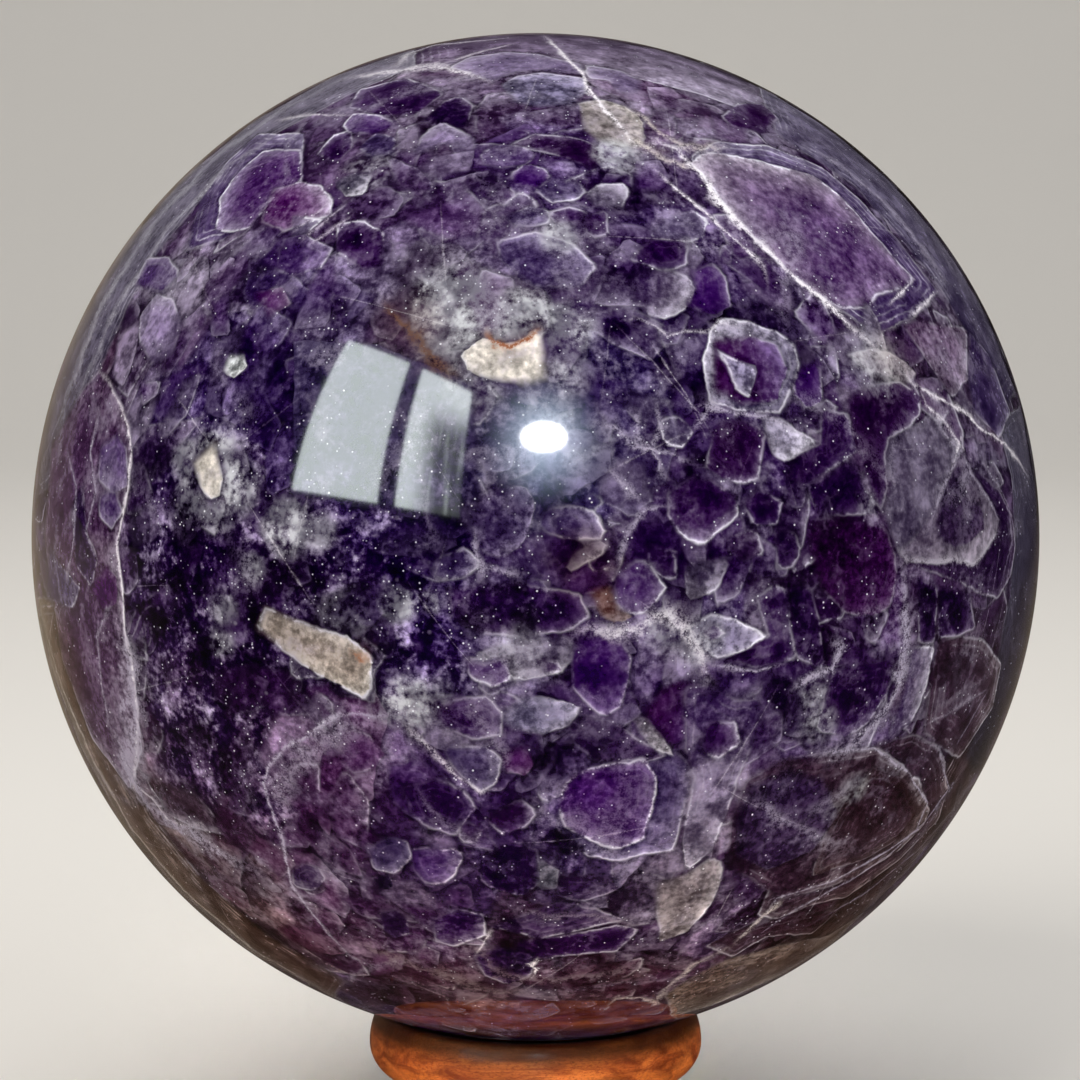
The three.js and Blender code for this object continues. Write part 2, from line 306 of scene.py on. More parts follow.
    ("night square", "black violet", [(25, -4.9), (27.3, -4.9), (28.1, -8), (28.6, -13), (25.9, -12),
     (25.3, -9)]),
    ("spear", "etched", [(15.2, -9), (17.5, -7.7), (19.5, -8), (23.1, -9.8), (21, -11.1), (18, -12.1),
     (16, -10.6)]),
    ("spear heart", "violet", [(16.6, -9.3), (17.8, -8.8), (19, -9.5), (17.6, -10.2)]),
    ("granular step", "milky", [(15, -3), (19.4, -1.9), (18.8, -3.5), (17.8, -5.5), (15.1, -6)]),
    ("violet step", "dim violet", [(18.9, 0), (22, 1), (22.6, -1.5), (20.5, -2.6), (19.2, -1.5)]),
    ("dark kite", "deep", [(20.7, 3.5), (22, 4.6), (24.6, 3.5), (24, 1.4), (21.5, 1.1)]),
    ("great hexagon", "plum", [(13.3, 4.3), (15.5, 5.8), (17.5, 5.6), (19.9, 4), (20, 2), (18, 0.3),
     (16.5, -0.9), (14.5, 0), (13.1, 2)]),
    ("dark window", "black violet", [(37.9, -4), (39.9, -5), (39.5, -10.5), (38, -10.5)]),
    ("darker window", "black violet", [(40.1, -5), (43, -5.6), (43.6, -9), (42, -9.9), (40, -10.1)]),
    ("lilac blade", "lilac side", [(37.4, -11), (39.6, -10.8), (38.8, -14.5), (37.3, -18.5), (35, -20),
     (36.6, -15)], 0),
    ("far violet", "deep", [(30, -13), (35.5, -12), (35, -15.5), (33, -18.5), (30.5, -20), (28, -19),
     (28.8, -15)]),
    ("eye lens", "grey violet", [(0, 1.5), (1.5, 2.8), (4, 3.1), (6, 2.5), (7.1, 0.5), (6.5, -0.5),
     (3, -0.1), (1, 0.4)]),
    ("speckled round", "dark mottled", [(-5.5, 4), (-4, 5.1), (-1, 5), (0.1, 3), (-0.5, 0.5), (-1.5, -1),
     (-3.5, -2.1), (-5.6, -1.5), (-6.3, 1)]),
    ("cream fan", "milky", [(3, -3.4), (6.3, -2), (7.6, -0.2), (5.5, -0.5), (4, -1.9)]),
    ("amber chip", "amber", [(5.4, -5.4), (7.6, -5), (8.3, -6.8), (9.6, -8), (8, -8.4), (6.4, -7.8)]),
    ("bright hexagon", "orchid", [(8.3, -3.5), (10.2, -2.1), (11.3, -2.8), (12.9, -5), (11.8, -6.5),
     (10.4, -7.8), (8, -6.9), (7.9, -5)]),
    ("night corner", "black violet", [(11, -0.9), (14, -1.4), (13.8, -4.2), (12.4, -4), (11.4, -2.6)]),
    ("pale drift", "milky", [(-7.5, -12.4), (-4, -11), (-1, -10.2), (3.2, -9.8), (3.6, -12), (2.4, -13.6),
     (-2.3, -14.2), (-3, -11.9)]),
    ("orchid bar", "orchid", [(-6.9, -12), (-5, -12.6), (-3, -12), (-2.4, -14.3), (-4, -14.9),
     (-6.6, -13.9)]),
    ("small plum", "plum", [(0.5, -12.4), (2.4, -12.3), (2.6, -13.6), (0.7, -13.4)]),
    ("royal block", "vivid", [(3.7, -12), (4.5, -10.4), (6.5, -9.8), (8.5, -10.4), (9.4, -12), (9, -15),
     (8.4, -17), (6.6, -18), (5.4, -17), (3.7, -15)]),
    ("black hole", "black", [(-2.5, -8.5), (-1.5, -7.6), (0.1, -7.4), (0.1, -10.4), (-1.8, -9.9)]),
    ("lilac veil", "grey violet", [(-10, -2.5), (-7, -1.1), (-5.4, -2.6), (-7, -3.9), (-10, -4.1)]),
    ("star", "glass", [(12.2, 11.5), (14, 12.1), (15.6, 10.5), (14.5, 8.9), (12.9, 9.2)]),
    ("edge violet", "violet", [(-43.1, 9), (-41.5, 10.1), (-40.6, 9), (-40.5, 5), (-42, 4.4), (-43.4, 6)]),
    ("edge violet low", "violet", [(-43.1, 4), (-41.8, 4.6), (-41, 2.5), (-42, 1), (-43.3, 2)]),
    ("edge plum", "black violet", [(-46, 3), (-45, 5.1), (-44.4, 0), (-43.4, -2), (-44, -5), (-45.6, -3)]),
    ("edge magenta", "magenta", [(-44.1, -5), (-42.5, -2.9), (-41.5, -4), (-41.5, -6.6), (-43, -7.1)]),
    ("edge pane", "grey violet", [(-48.2, -1), (-47, -3), (-45.2, -5), (-46, -7.1), (-48.5, -6)]),
    ("ink crystal", "deep", [(-10.1, -16.3), (-7, -15.9), (-4.8, -15.8), (-3.2, -17.5), (-3.5, -19.6),
     (-6, -20.1), (-9.5, -18.6)]),
    ("pale lens", "milk blue", [(-3.4, -18), (-1.5, -16), (1, -15.9), (3.5, -16.3), (4.6, -17),
     (3.3, -18.6), (0.5, -19.6), (-2, -19)]),
    ("night bed", "black violet", [(3.4, -18.6), (5, -17.8), (8, -18.3), (10, -19.8), (13, -21.6),
     (11, -22.3), (6, -22.1), (4, -20.5)]),
    ("cream tip", "sand", [(9.8, -18), (11, -17.9), (12.6, -19.8), (13.9, -21.8), (12, -21.1),
     (10.2, -19.4)]),
    ("wine crystal", "wine", [(11, -17.5), (12.5, -15.4), (14.5, -14.4), (17, -14.9), (18.6, -15.6),
     (17, -18), (15.2, -20), (13.4, -20.6)], -20),
    ("blue hexagon", "blue violet", [(2.3, -26.5), (3, -24.5), (5, -23), (8, -22.6), (10.8, -22),
     (11.9, -23.5), (11.6, -27), (10.8, -30), (8, -30.9), (5.5, -30.1), (3, -28.7)]),
    ("grey pebble", "grey violet", [(-9.1, -21), (-5, -20.7), (-3.4, -22), (-4, -24.4), (-5.5, -25.3),
     (-7.6, -23.5)]),
    ("wine drop", "magenta", [(-3, -21.5), (-1, -20.9), (-0.2, -22.5), (-0.8, -23.6), (-3, -23.3)]),
    ("ink cloud", "deep", [(-13.1, -25), (-10, -23.9), (-7, -25.2), (-5.9, -27), (-8, -29.6),
     (-12, -28.1)]),
    ("dark wedge", "dark plum", [(-4.9, -28), (-3.2, -27), (-1.5, -26.1), (0.1, -27.3), (-1, -28.6),
     (-3, -29.6)]),
    ("small ring", "dim violet", [(-7.6, -28.5), (-6.5, -28.2), (-5.4, -29), (-6, -30.4), (-7.4, -30.1)]),
    ("little tub", "orchid", [(-12.4, -31.2), (-11, -30.9), (-8, -31), (-7.2, -31.5), (-8, -33.6),
     (-9, -34.4), (-11, -34.3), (-12.1, -33)]),
    ("grey cap left", "grey violet", [(-16.6, -31), (-14.5, -29.9), (-12.8, -30.2), (-12.4, -31.8),
     (-14, -33.4), (-16, -32.9)]),
    ("black seed", "black", [(-16.1, -33.8), (-14.5, -33.4), (-14.1, -34.6), (-15.5, -35.1)]),
    ("lilac ring", "dim violet", [(-15.4, -37.5), (-14, -36.9), (-12.7, -38), (-12.4, -39.4), (-14, -39.8),
     (-15.3, -38.9)]),
    ("well", "black violet", [(-5.6, -32), (-3, -30.4), (0, -30.9), (0.6, -34), (-1, -35.6), (-4, -35.1),
     (-5.4, -34)]),
    ("green glass", "dim quartz", [(0.4, -32), (2.4, -33), (2.1, -34.9), (0.3, -34.9)]),
    ("black gap", "black", [(2.1, -29.5), (3.2, -29.1), (5.4, -31.3), (3, -31.6)]),
    ("violet floor", "dim violet", [(2.9, -33.5), (7, -33.7), (8.1, -35), (5, -36.1), (2, -35.5)]),
    ("long violet", "dim violet", [(-4.3, -38.7), (-1, -37.4), (2, -36.2), (6, -36.8), (8.9, -38),
     (4, -39.1), (0.5, -39.9), (-2, -39.1)]),
    ("under plum", "dark plum", [(-1.5, -40.2), (3, -39.5), (8, -38.5), (10.2, -39), (8, -41.1), (2, -41.6),
     (-3, -42.1)]),
    ("plum tile", "plum", [(-10.1, -38), (-8, -36.9), (-5.4, -37.4), (-5, -39.6), (-8, -40.6),
     (-9.9, -40.1)]),
    ("blue pit", "black violet", [(-6.1, -41.5), (-3.5, -40.7), (-0.4, -41.5), (-0.3, -43.6), (-3, -44.3),
     (-5.1, -43.6)]),
    ("soft violet", "dim violet", [(-24.1, -33), (-23, -32.4), (-21.5, -32.7), (-20.7, -34), (-22, -35.1),
     (-24, -34.6)]),
    ("sand patch", "dim sand", [(12.2, -34.5), (15, -33.4), (17.6, -31.8), (18.6, -32.5), (18, -35),
     (17, -37.3), (15, -39.1), (12.4, -40.1), (12, -37)]),
    ("great smoky", "great smoky", [(21, -24), (25, -22), (30, -21.5), (34, -20.9), (36, -22.4), (38, -24),
     (39.1, -27), (38.5, -28.6), (36, -31.1), (32, -33.6), (28, -35), (24.4, -35.9), (21.5, -34),
     (19, -32.5), (19.5, -28)], 0),
    ("smoky left", "smoke violet", [(21.3, -24.5), (25, -23.2), (28.5, -24), (30, -27.5), (27.5, -31),
     (23, -33), (20, -31.5), (20, -28)]),
    ("smoky right", "smoke brown", [(30.5, -26.5), (33.5, -23), (36.8, -24.2), (38, -27.3), (36, -30),
     (32, -32.2), (27.5, -33.6), (28.5, -30)]),
    ("smoky night", "smoky dark", [(17, -40.5), (20, -39), (23, -38.2), (27, -37.4), (30, -37),
     (27.5, -39.3), (23, -39.6), (19.5, -41.6)]),
    ("lilac shard", "lilac side", [(15, -15), (17.5, -14.7), (20, -16.3), (22.3, -15.9), (22, -19),
     (20.5, -23), (19, -27.1), (17.5, -31), (15, -33.1), (14.6, -30), (15.8, -24), (14.8, -20.5)], -80),
    ("shard heart", "plum", [(17, -18.3), (19.8, -18.2), (20.3, -20.5), (18, -22), (16.5, -21)]),
    ("cream block", "cream", [(-7.4, 18.1), (-6.2, 19.2), (-5, 19.9), (-3.4, 19.1), (-1.5, 19.5),
     (0.5, 20.9), (0.9, 18.5), (0.9, 15.9), (-1, 15.2), (-3.5, 15.6), (-6.6, 16.5)]),
    ("small chip", "cream", [(-33.9, 7.4), (-31.8, 9.3), (-31, 5.8), (-31.4, 4.2), (-32.4, 3.6),
     (-33.2, 4.7), (-33.4, 6)]),
    ("beige slab", "beige", [(-27.5, -9), (-26.7, -7.1), (-22, -9), (-18.5, -10), (-16.2, -12),
     (-16.5, -15), (-17, -16), (-19, -14.9), (-22, -13.4), (-25.5, -10.8)]),
]

# Veins and fine lines of the front: name, colour, half width in millimetres, strength, path.
WHITE = "#e6dfe6"
MILK = "#a99fb6"
RUST = "#93512f"
EARTH = "#6b4a3b"
CREAM = "#cfc3bb"
VEINS = [
    ("long vein", WHITE, 0.24, 1.0, [(0.8, 49.8), (2.2, 48.5), (3.3, 47.2), (4.7, 46), (5.1, 44.8),
     (6.3, 43.2), (7.5, 41.7), (9, 40.3), (9.8, 38.8), (10.2, 37.8)]),
    ("tongue vein", WHITE, 0.36, 1.0, [(10.5, 38.3), (12, 39.3), (14, 38.5), (15, 37.3), (17, 35.3),
     (18.5, 33), (20.5, 31), (23, 28.5), (25, 26.5), (28, 24), (30, 22.3), (33, 19.5), (34.5, 18)]),
    ("under vein", WHITE, 0.2, 0.8, [(11.5, 36.8), (14, 34.5), (17, 32), (20.5, 29), (22.5, 27), (23, 25)]),
    ("east vein", WHITE, 0.22, 0.9, [(35.5, 17.5), (37.5, 15.2), (40, 13.8), (42.5, 12.5), (44.5, 10.5),
     (46.5, 9.3), (48, 7.5), (49, 5.8)]),
    ("east twig", WHITE, 0.18, 0.8, [(38.2, 14.6), (38.8, 13), (40.5, 11.5), (42, 9.3), (41.3, 7)]),
    ("west vein", WHITE, 0.19, 0.75, [(-45, 14.5), (-43.3, 16.5), (-42.5, 15.5), (-41.3, 13.5), (-40.5, 11),
     (-40.1, 8.5), (-40.4, 5), (-41, 2), (-41.5, -1), (-41, -5), (-40.8, -9), (-40, -13), (-39.5, -17),
     (-39.5, -21), (-39.8, -24.5), (-38, -26), (-36.5, -28), (-34.5, -28.7), (-33.3, -28.4), (-32.5, -29.5),
     (-31.5, -31)]),
    ("west glow", MILK, 1.3, 0.75, [(-40.6, -8), (-39.9, -14), (-39.8, -20), (-40.4, -25.5)]),
    ("west drift", MILK, 1.0, 0.7, [(-41, -18), (-40.4, -23.5), (-38.4, -26.8), (-34.5, -29.2),
     (-31, -31.5), (-27, -33.6)]),
    ("bed edge", MILK, 0.2, 0.85, [(-10.5, -17), (-16, -17.8), (-19, -17.6), (-20.5, -18.2), (-23, -20),
     (-25, -21), (-26.6, -22.8), (-26.9, -24.5), (-26.5, -26.5), (-25.7, -28.5), (-25, -30), (-24.7, -32.5),
     (-24.2, -34.5), (-22.4, -37), (-20.4, -39.5), (-18.4, -41.5), (-15, -43.2)]),
    ("royal arch", WHITE, 0.45, 0.6, [(3, -9.8), (5.5, -9), (8, -9.4), (9.8, -9), (11.5, -7.8), (13.2, -8),
     (15.3, -9.6), (16.6, -12), (17.4, -15)]),
    ("east milk", MILK, 0.8, 0.75, [(36, -1.5), (36.6, -5), (37, -8), (36.8, -11), (36, -15), (34, -18.5),
     (31, -21), (27.5, -22)]),
    ("rust run", EARTH, 0.5, 0.75, [(-15, 23.5), (-13, 21), (-11, 18.5), (-9.5, 17), (-8, 15.5)]),
    ("rust smile", RUST, 0.28, 0.9, [(-4.9, 20.6), (-4.1, 19.3), (-2.6, 19), (-0.6, 19.7), (0.7, 20.6)]),
    ("slab rust", RUST, 0.5, 0.7, [(-18.2, -11.3), (-16.6, -12.2)]),
    ("north scratch", WHITE, 0.08, 0.3, [(-35.5, 13.8), (-32.4, 9.4)]),
    ("west scratch", WHITE, 0.08, 0.35, [(-29, 4), (-22.5, -6), (-21, -7.5)]),
    ("cross scratch", WHITE, 0.08, 0.3, [(8, 21), (12, 17), (16, 12.5), (17.5, 10.3)]),
    ("second scratch", WHITE, 0.08, 0.3, [(11.3, 19.5), (15, 14), (17, 9.8)]),
    ("scallops", WHITE, 0.13, 0.5, [(8.5, 21.5), (10, 21.8), (12, 21), (13.2, 20), (15, 20.5), (17, 20.3),
     (18, 21.3), (20, 21)]),
    ("first arc", MILK, 0.3, 0.6, [(10, 8.5), (11.5, 9), (12.3, 11), (12, 13.5)]),
    ("second arc", MILK, 0.3, 0.6, [(7, 6.8), (9, 5), (10.5, 3.5)]),
    ("third arc", MILK, 0.3, 0.6, [(-6, 1), (-6, -1.5), (-5, -3), (-3, -3.5), (-1, -4)]),
    ("kite line", MILK, 0.2, 0.7, [(15, 12.8), (17.5, 13), (20, 12.3), (23, 12), (25, 11), (28, 9.4)]),
    ("low line", MILK, 0.2, 0.7, [(17, -12.5), (22, -13.3), (25, -12.6)]),
    ("hook", MILK, 0.3, 0.8, [(25, -15.5), (27, -14), (29.5, -13), (30.2, -11), (29, -9.8)]),
    ("pale seam", WHITE, 0.2, 0.6, [(-13, -18.5), (-10, -21.5), (-8, -23.5), (-5.5, -25.3), (-3.3, -25)]),
    ("bottom notch", WHITE, 0.16, 0.6, [(-6, -41.5), (-5, -40), (-4.3, -38.8)]),
    ("squiggle", WHITE, 0.16, 1.0, [(0.2, -41.8), (-0.3, -42.5), (0.1, -42.9), (-0.5, -43.8)]),
    ("jag", CREAM, 0.3, 0.6, [(6.6, -47.2), (8, -45.8), (10.5, -45.7), (11.9, -46.2), (12.8, -44.9),
     (15.8, -42.4), (18.3, -41.2), (20, -40.3)]),
    ("step edge", CREAM, 0.3, 0.7, [(20, -40.2), (21.5, -38.6), (23.5, -36.9), (24.5, -35.9)]),
    ("cream branch", CREAM, 0.5, 0.6, [(9, 40), (10.6, 38.9), (13, 37.6), (16.2, 36.4)]),
    ("upper branch", CREAM, 0.35, 0.6, [(8.4, 43), (10.6, 41.6), (12.4, 40), (15, 38.6), (19, 38.8)]),
    ("top fan", WHITE, 0.4, 0.8, [(-14, 46.5), (-12.5, 48), (-10, 48.8), (-2, 49.6)]),
    ("second fan", WHITE, 0.2, 0.7, [(-9, 47), (-6, 48), (-2, 49)]),
    ("top ridge", WHITE, 0.6, 0.85, [(-19, 45.5), (-14, 46.2), (-10, 46.8), (-6, 45.7), (-4.5, 44.9)]),
    ("ladder one", "#bdb0c4", 0.14, 0.6, [(-24.2, 30.2), (-22.3, 31.6), (-20, 33.6)]),
    ("ladder two", "#bdb0c4", 0.14, 0.6, [(-23.4, 29.4), (-21.5, 30.8), (-19, 32.9)]),
    ("ladder three", "#bdb0c4", 0.14, 0.6, [(-22.6, 28.8), (-20.5, 30.3), (-18.2, 32)]),
    ("lobe crease", MILK, 0.22, 0.7, [(-46.5, 9), (-45.6, 5), (-45.8, 0), (-46.6, -5)]),
    ("lobe fold", MILK, 0.18, 0.7, [(-43.2, 12.5), (-44.2, 8.5), (-43.6, 4.5), (-44.6, 0.5), (-43.2, -3)]),
    ("lobe hem", MILK, 0.2, 0.6, [(-42, -6), (-43.5, -10), (-43, -15), (-42, -20)]),
    ("net one", MILK, 0.3, 0.6, [(5.5, 11.5), (8, 10.8), (10, 9), (13, 8.4), (16, 7.2)]),
    ("net two", MILK, 0.3, 0.6, [(9.8, 12.8), (10.4, 10), (12.3, 7.5), (12.8, 5)]),
    ("net three", MILK, 0.3, 0.6, [(15.6, 10.4), (17.2, 12.5), (19, 12.6)]),
    ("net four", MILK, 0.3, 0.6, [(8, -2.8), (9, 0.5), (11, 2.6), (13.4, 3.2)]),
    ("smoky brow", MILK, 0.14, 0.85, [(25, -22), (28, -21.5), (33.6, -20.9), (36.8, -23.2), (38.9, -26.4),
     (37.7, -29.2), (34.5, -31.4), (29.5, -34.2), (24, -35.8), (23, -37.2), (20.3, -39.7)]),
    ("smoky fold", MILK, 0.14, 0.7, [(36.8, -19.7), (40, -20.9), (41, -25), (38.6, -28.3), (35, -31.6),
     (31.8, -33.7), (25.8, -37), (20.3, -40.7)]),
    ("south haze", "#836f72", 1.0, 0.5, [(-19, -40), (-14, -41.8), (-9, -43.3), (-4, -45), (1, -45.6)]),
    ("south wisp", "#7d6b74", 0.6, 0.55, [(-9, -39.6), (-5.5, -41), (-3.5, -43.6), (2, -44), (8, -43.2),
     (13, -41.4)]),
    ("floor wisp", "#8a7a8c", 0.35, 0.6, [(-3, -36.4), (1, -37.6), (6, -37.5), (10.5, -38.8)]),
    ("smoky hem", MILK, 0.16, 0.5, [(42.5, -23.5), (41.5, -27), (38, -31), (32.5, -35.5), (27, -38.6)]),
    ("smoky seam", MILK, 0.5, 0.4, [(20.6, -25.5), (26, -28.7), (30, -30.5)]),
    ("bed milk", MILK, 1.0, 0.45, [(-16, -18.8), (-21.5, -20.5), (-25.4, -24.8), (-24.4, -29.5)]),
    ("chevron", WHITE, 0.14, 0.8, [(37.5, 25.4), (35, 23)]),
    ("outer chevron", WHITE, 0.16, 0.8, [(39.8, 24.3), (37, 21.7)]),
    ("north-west ray", WHITE, 0.2, 0.6, [(-26, 41.3), (-22, 41.9), (-18, 41.9)]),
    # These lines along the ball's outline are painted edge light: pale and brown light that shines through
    # the thin rim
    ("north edge light line", "#a9a5b2", 1.0, 0.8, [(-47.5, 8), (-46.5, 14), (-43, 23), (-38, 31), (-32, 37.5),
     (-25, 42.5), (-17, 46.5)]),
    ("inner edge light line", "#a9a5b2", 0.6, 0.7, [(-45.8, 13), (-42, 22), (-36.5, 30.5), (-30.5, 36.8),
     (-24, 41)]),
    ("south edge light line", CREAM, 0.5, 0.7, [(-49, -8), (-47, -15), (-44, -22), (-40, -29), (-35, -35),
     (-28, -41), (-20, -45.5)]),
    ("south inner edge light line", EARTH, 0.5, 0.5, [(-48, -10), (-45.6, -17), (-42.5, -24), (-38.5, -30.5),
     (-33, -36.5), (-26, -41.8)]),
    ("east edge light line", MILK, 0.6, 0.7, [(26, 39), (30, 37), (34, 33.8), (37.5, 29.8), (41, 25.2)]),
    ("lobe lip", "#a8a0ae", 0.3, 0.75, [(35.5, -0.8), (37, -2.2), (39.8, -2.6), (41.8, -2.1), (43.4, -2.8),
     (44.6, -1.5), (45.7, 0.4), (46, 1.7)]),
    ("lobe seam", MILK, 0.2, 0.6, [(39, 12.2), (40, 11.1), (41, 9.7), (42.2, 8.6), (41.3, 6.8), (40.5, 5),
     (39.6, 2.4), (38.6, 0.3)]),
    ("lobe side", MILK, 0.18, 0.6, [(42.3, 8.5), (43.2, 6.4), (44.3, 4.6), (45.5, 2.9), (46, 1.6)]),
    ("lobe shell", MILK, 0.18, 0.45, [(43.6, 9.4), (44.4, 7.4), (45.8, 5.4), (47, 2.8), (47.3, -0.4),
     (46, -5.4)]),
    ("east shadow", "#0b0710", 0.45, 0.9, [(14, 48), (24, 43.9), (32, 38.5), (39, 31.3), (44.5, 22.8),
     (48.2, 13.2), (49.8, 3.5), (49.6, -6), (47.5, -15.5)]),
    ("east fan", MILK, 0.2, 0.5, [(45, -15), (41, -17.5), (38, -19)]),
    ("lower fan", MILK, 0.2, 0.5, [(45, -15), (43, -18.5), (41.5, -21)]),
]

# Soft fields of colour under the crystals: across, up, reach (all in millimetres) and colour. Near the
# outline their paler greys are partly painted edge light, the light that shines through the ball's thin
# rim.
FIELDS = [
    (-30, -2, 13, "#281a38"), (-22, -8, 8, "#2c203c"), (-32, -18, 10, "#33253c"), (-15, 2, 8, "#281c41"),
    (-8, -7, 8, "#2d1c4b"), (-30, 14, 9, "#3c2a5f"), (-25, 20, 8, "#46326e"), (-35, 24, 8, "#776b88"),
    (-28, 24, 5, "#5f5078"), (-42, 30, 8, "#787387"), (-20, 40, 8, "#6d5c80"), (-14, 33, 7, "#6a5a80"),
    (-18, 24, 5, "#6d6282"), (-7, 44, 8, "#70607f"), (0, 36, 8, "#574176"), (0, 28, 6, "#66587c"),
    (12, 44, 7, "#93859f"), (-12, 46.5, 4, "#9a8ca6"), (16, 41, 6, "#8a7c9e"), (22, 40, 8, "#716285"),
    (36, 31, 7, "#746b8a"), (5, 28, 9, "#554173"), (-8, 22, 7, "#6c6a78"), (8, 14, 7, "#3c325f"),
    (0, 8, 6, "#4a4a6e"), (14, 14, 8, "#41325f"), (20, 4, 9, "#3c2855"), (30, -5, 9, "#321941"),
    (38, 5, 7, "#736482"), (46, 0, 6, "#555064"), (43, 18, 6, "#7a7088"), (42, -15, 7, "#5f5064"),
    (30, -18, 8, "#4b3764"), (20, -12, 8, "#4b3c69"), (10, -14, 7, "#5f4b7d"), (-2, -14, 8, "#5a4b78"),
    (-20, -26, 8, "#65446b"), (-20, -37, 7, "#6d5068"), (-8, -27, 9, "#4b3764"), (0, -32, 8, "#37284b"),
    (8, -27, 6, "#50377d"), (16, -27, 6, "#8c7d96"), (12, -36, 7, "#6e5f78"), (-15, -36, 8, "#463250"),
    (0, -42, 7, "#54404e"), (-9, -45, 5, "#6c5862"), (8, -44.5, 5, "#5f4a54"), (30, -30, 9, "#3c2846"),
    (26, -38, 6, "#46363a"), (22, -43.5, 6, "#806c60"), (-30, -34, 8, "#6b5a60"), (-36, -30, 6, "#7a6862"),
    (-42, -18, 6, "#7a6072"), (-44, 5, 6, "#7d6884"), (-44, 13, 4, "#9a8a9c"),
]

# Where the stone is drusy (dark and grainy), frosted with quartz, veiled with milk or smoky:
# across, up, reach in millimetres and strength.
DRUSY = [
    (-30, -3, 13, 1.0), (-20, -6, 9, 0.9), (-31, -19, 9, 1.0), (-14, 3, 7, 0.7), (-5, -7, 7, 0.5),
    (-27, 17, 8, 0.45), (-12, -10, 6, 0.8), (-37, 3, 3, 0.6), (-2, -32, 5, 0.4),
]
QUARTZ = [
    (31.6, -25, 1.8, 0.65), (29.5, -27.2, 1.4, 0.4), (1, 13.2, 3, 0.55), (5, 9, 3.2, 0.45),
    (-1, 9, 3, 0.35), (-8.5, 23.5, 3.6, 1.0), (-5, 20, 4, 0.85), (-1.5, 21.5, 3, 1.0), (3, 20.5, 2.6, 0.8),
    (-6, 15.5, 3, 0.6), (2.5, 16, 2.5, 0.6), (-10, 20.5, 2.5, 0.6), (-31.8, 8.4, 2.6, 0.85),
    (-30, 5, 2.8, 0.9), (-34, 4, 2.4, 0.8), (-34.5, 7.6, 2, 0.8), (-31.5, 2.6, 2.2, 0.8),
    (-24.6, 1, 2.6, 0.95), (-21.5, 0.5, 1.8, 0.7), (-28, -3, 1.3, 0.8), (-31, -7.2, 1.7, 0.6),
    (-31.2, -10.4, 1.6, 0.6), (-13.6, -6.6, 1.6, 1.0), (-10.5, -6.5, 1.1, 0.8), (-12.5, -16.4, 2.4, 1.0),
    (-15, -17, 1.5, 0.9), (-9.5, -15.4, 1.4, 0.6), (2.4, 29.7, 1.7, 1.0), (-17, 36, 3, 0.45),
    (8, 37.8, 2.4, 0.8), (34, 17, 3.5, 0.6), (28, -18.6, 2.2, 0.6), (16, -10, 2.6, 0.6), (-36, 26, 3, 0.4),
    (-19, -8, 3, 0.4), (12.5, -9, 2.2, 0.7), (-2, -11.5, 2.5, 0.5), (27.5, -15.5, 1.8, 0.6),
    (33, 3, 1.5, 0.4),
]
MILKY = [
    (-43.2, 14.2, 3.4, 0.9), (-40.6, 10.5, 2.2, 0.6), (-16, 30, 7, 0.6), (-8, 35, 6, 0.45),
    (-26, 22, 5, 0.5), (-20, 41, 6, 0.6), (-34, 20, 5, 0.6), (10, 26, 6, 0.5), (-20, -30, 9, 0.4),
    (3, 2, 5, 0.8), (4, 8, 6, 0.5), (39, 5, 6, 0.6), (-40, 27, 5, 0.5), (8, -17, 4, 0.5), (-30, 28, 5, 0.3),
    (44, 14, 6, 0.6), (20, 41, 8, 0.5), (-44, 25, 7, 0.6), (-42, 8, 5, 0.5), (17, -26, 5, 0.6),
    (0, -15, 7, 0.35), (12, 42, 6, 0.5), (-38, -13, 3, 0.5), (24, 33, 7, 0.35), (42, -16, 5, 0.4),
    (0, 30, 7, 0.3), (8, 2, 5, 0.35),
]
# Smoky spots along the lower outline are painted edge light: the brownish light that shines through the
# ball's thin rim
SMOKY_AND_EDGE_LIGHT = [
    (4.5, -2.5, 3, 0.8), (-38, -33, 10, 0.6), (-47, -12, 5, 0.9), (-25, -41, 8, 0.9), (30, -38, 9, 0.9),
    (10, -46, 9, 0.8), (40, -27, 6, 0.7), (-10, -46, 8, 0.7), (7, -4.5, 2.5, 0.9), (-13, 21, 3, 0.6),
    (36, 18, 3, 0.5),
]

CLEAN_LOOKS = ("cream", "beige", "orchid", "ringed", "pale")  # no zone reaches over these
FAR = 1e9  # farther than any place on the ball
SLIGHT = 1e-9  # keeps divisions away from nothing
OUTSIDE = 9.0  # distance in millimetres at which nothing of a crystal or vein shows
DRAWN_RADIUS = 50  # radius of the ball in the millimetres of the drawn places
EDGE_REACH = 0.75  # how far beyond its outline a crystal still shows, in millimetres
LAST_REACH = 0.15  # the same where it is the last that a face can hold
SOLID_COVER = 0.7  # cover from which a crystal hides all below it
VEIN_OVERLAP = 0.25  # how far the stretches of a vein reach into each other, in millimetres
LAYERS = 5  # crystals that may meet on one face of the ball
VEINS_MEETING = 3
SEED = 20

PLAIN_DRUSY = 0.7  # how much fewer and fainter the made-up crystals are where it is drusy

# Crystals that are made up under the drawn ones: how many places are tried, the smallest and the
# largest size in millimetres, and the share of the places that get one.
MADE_UP = [(1700, 1.5, 3, 0.12), (1500, 3, 6, 0.75), (500, 5, 9, 1.0), (200, 9, 14, 1.0)]


def linear(colour):
    """The linear red, green and blue of a colour written as #rrggbb."""
    parts = [int(colour[i:i + 2], 16) / 255 for i in (1, 3, 5)]
    return np.array([c / 12.92 if c <= 0.04045 else ((c + 0.055) / 1.055) ** 2.4 for c in parts])


def tone(colour):
    """A colour of the stone. They are mixed as the eye sees them, and squared into light at the end."""
    return np.sqrt(linear(colour))


# Places on the ball


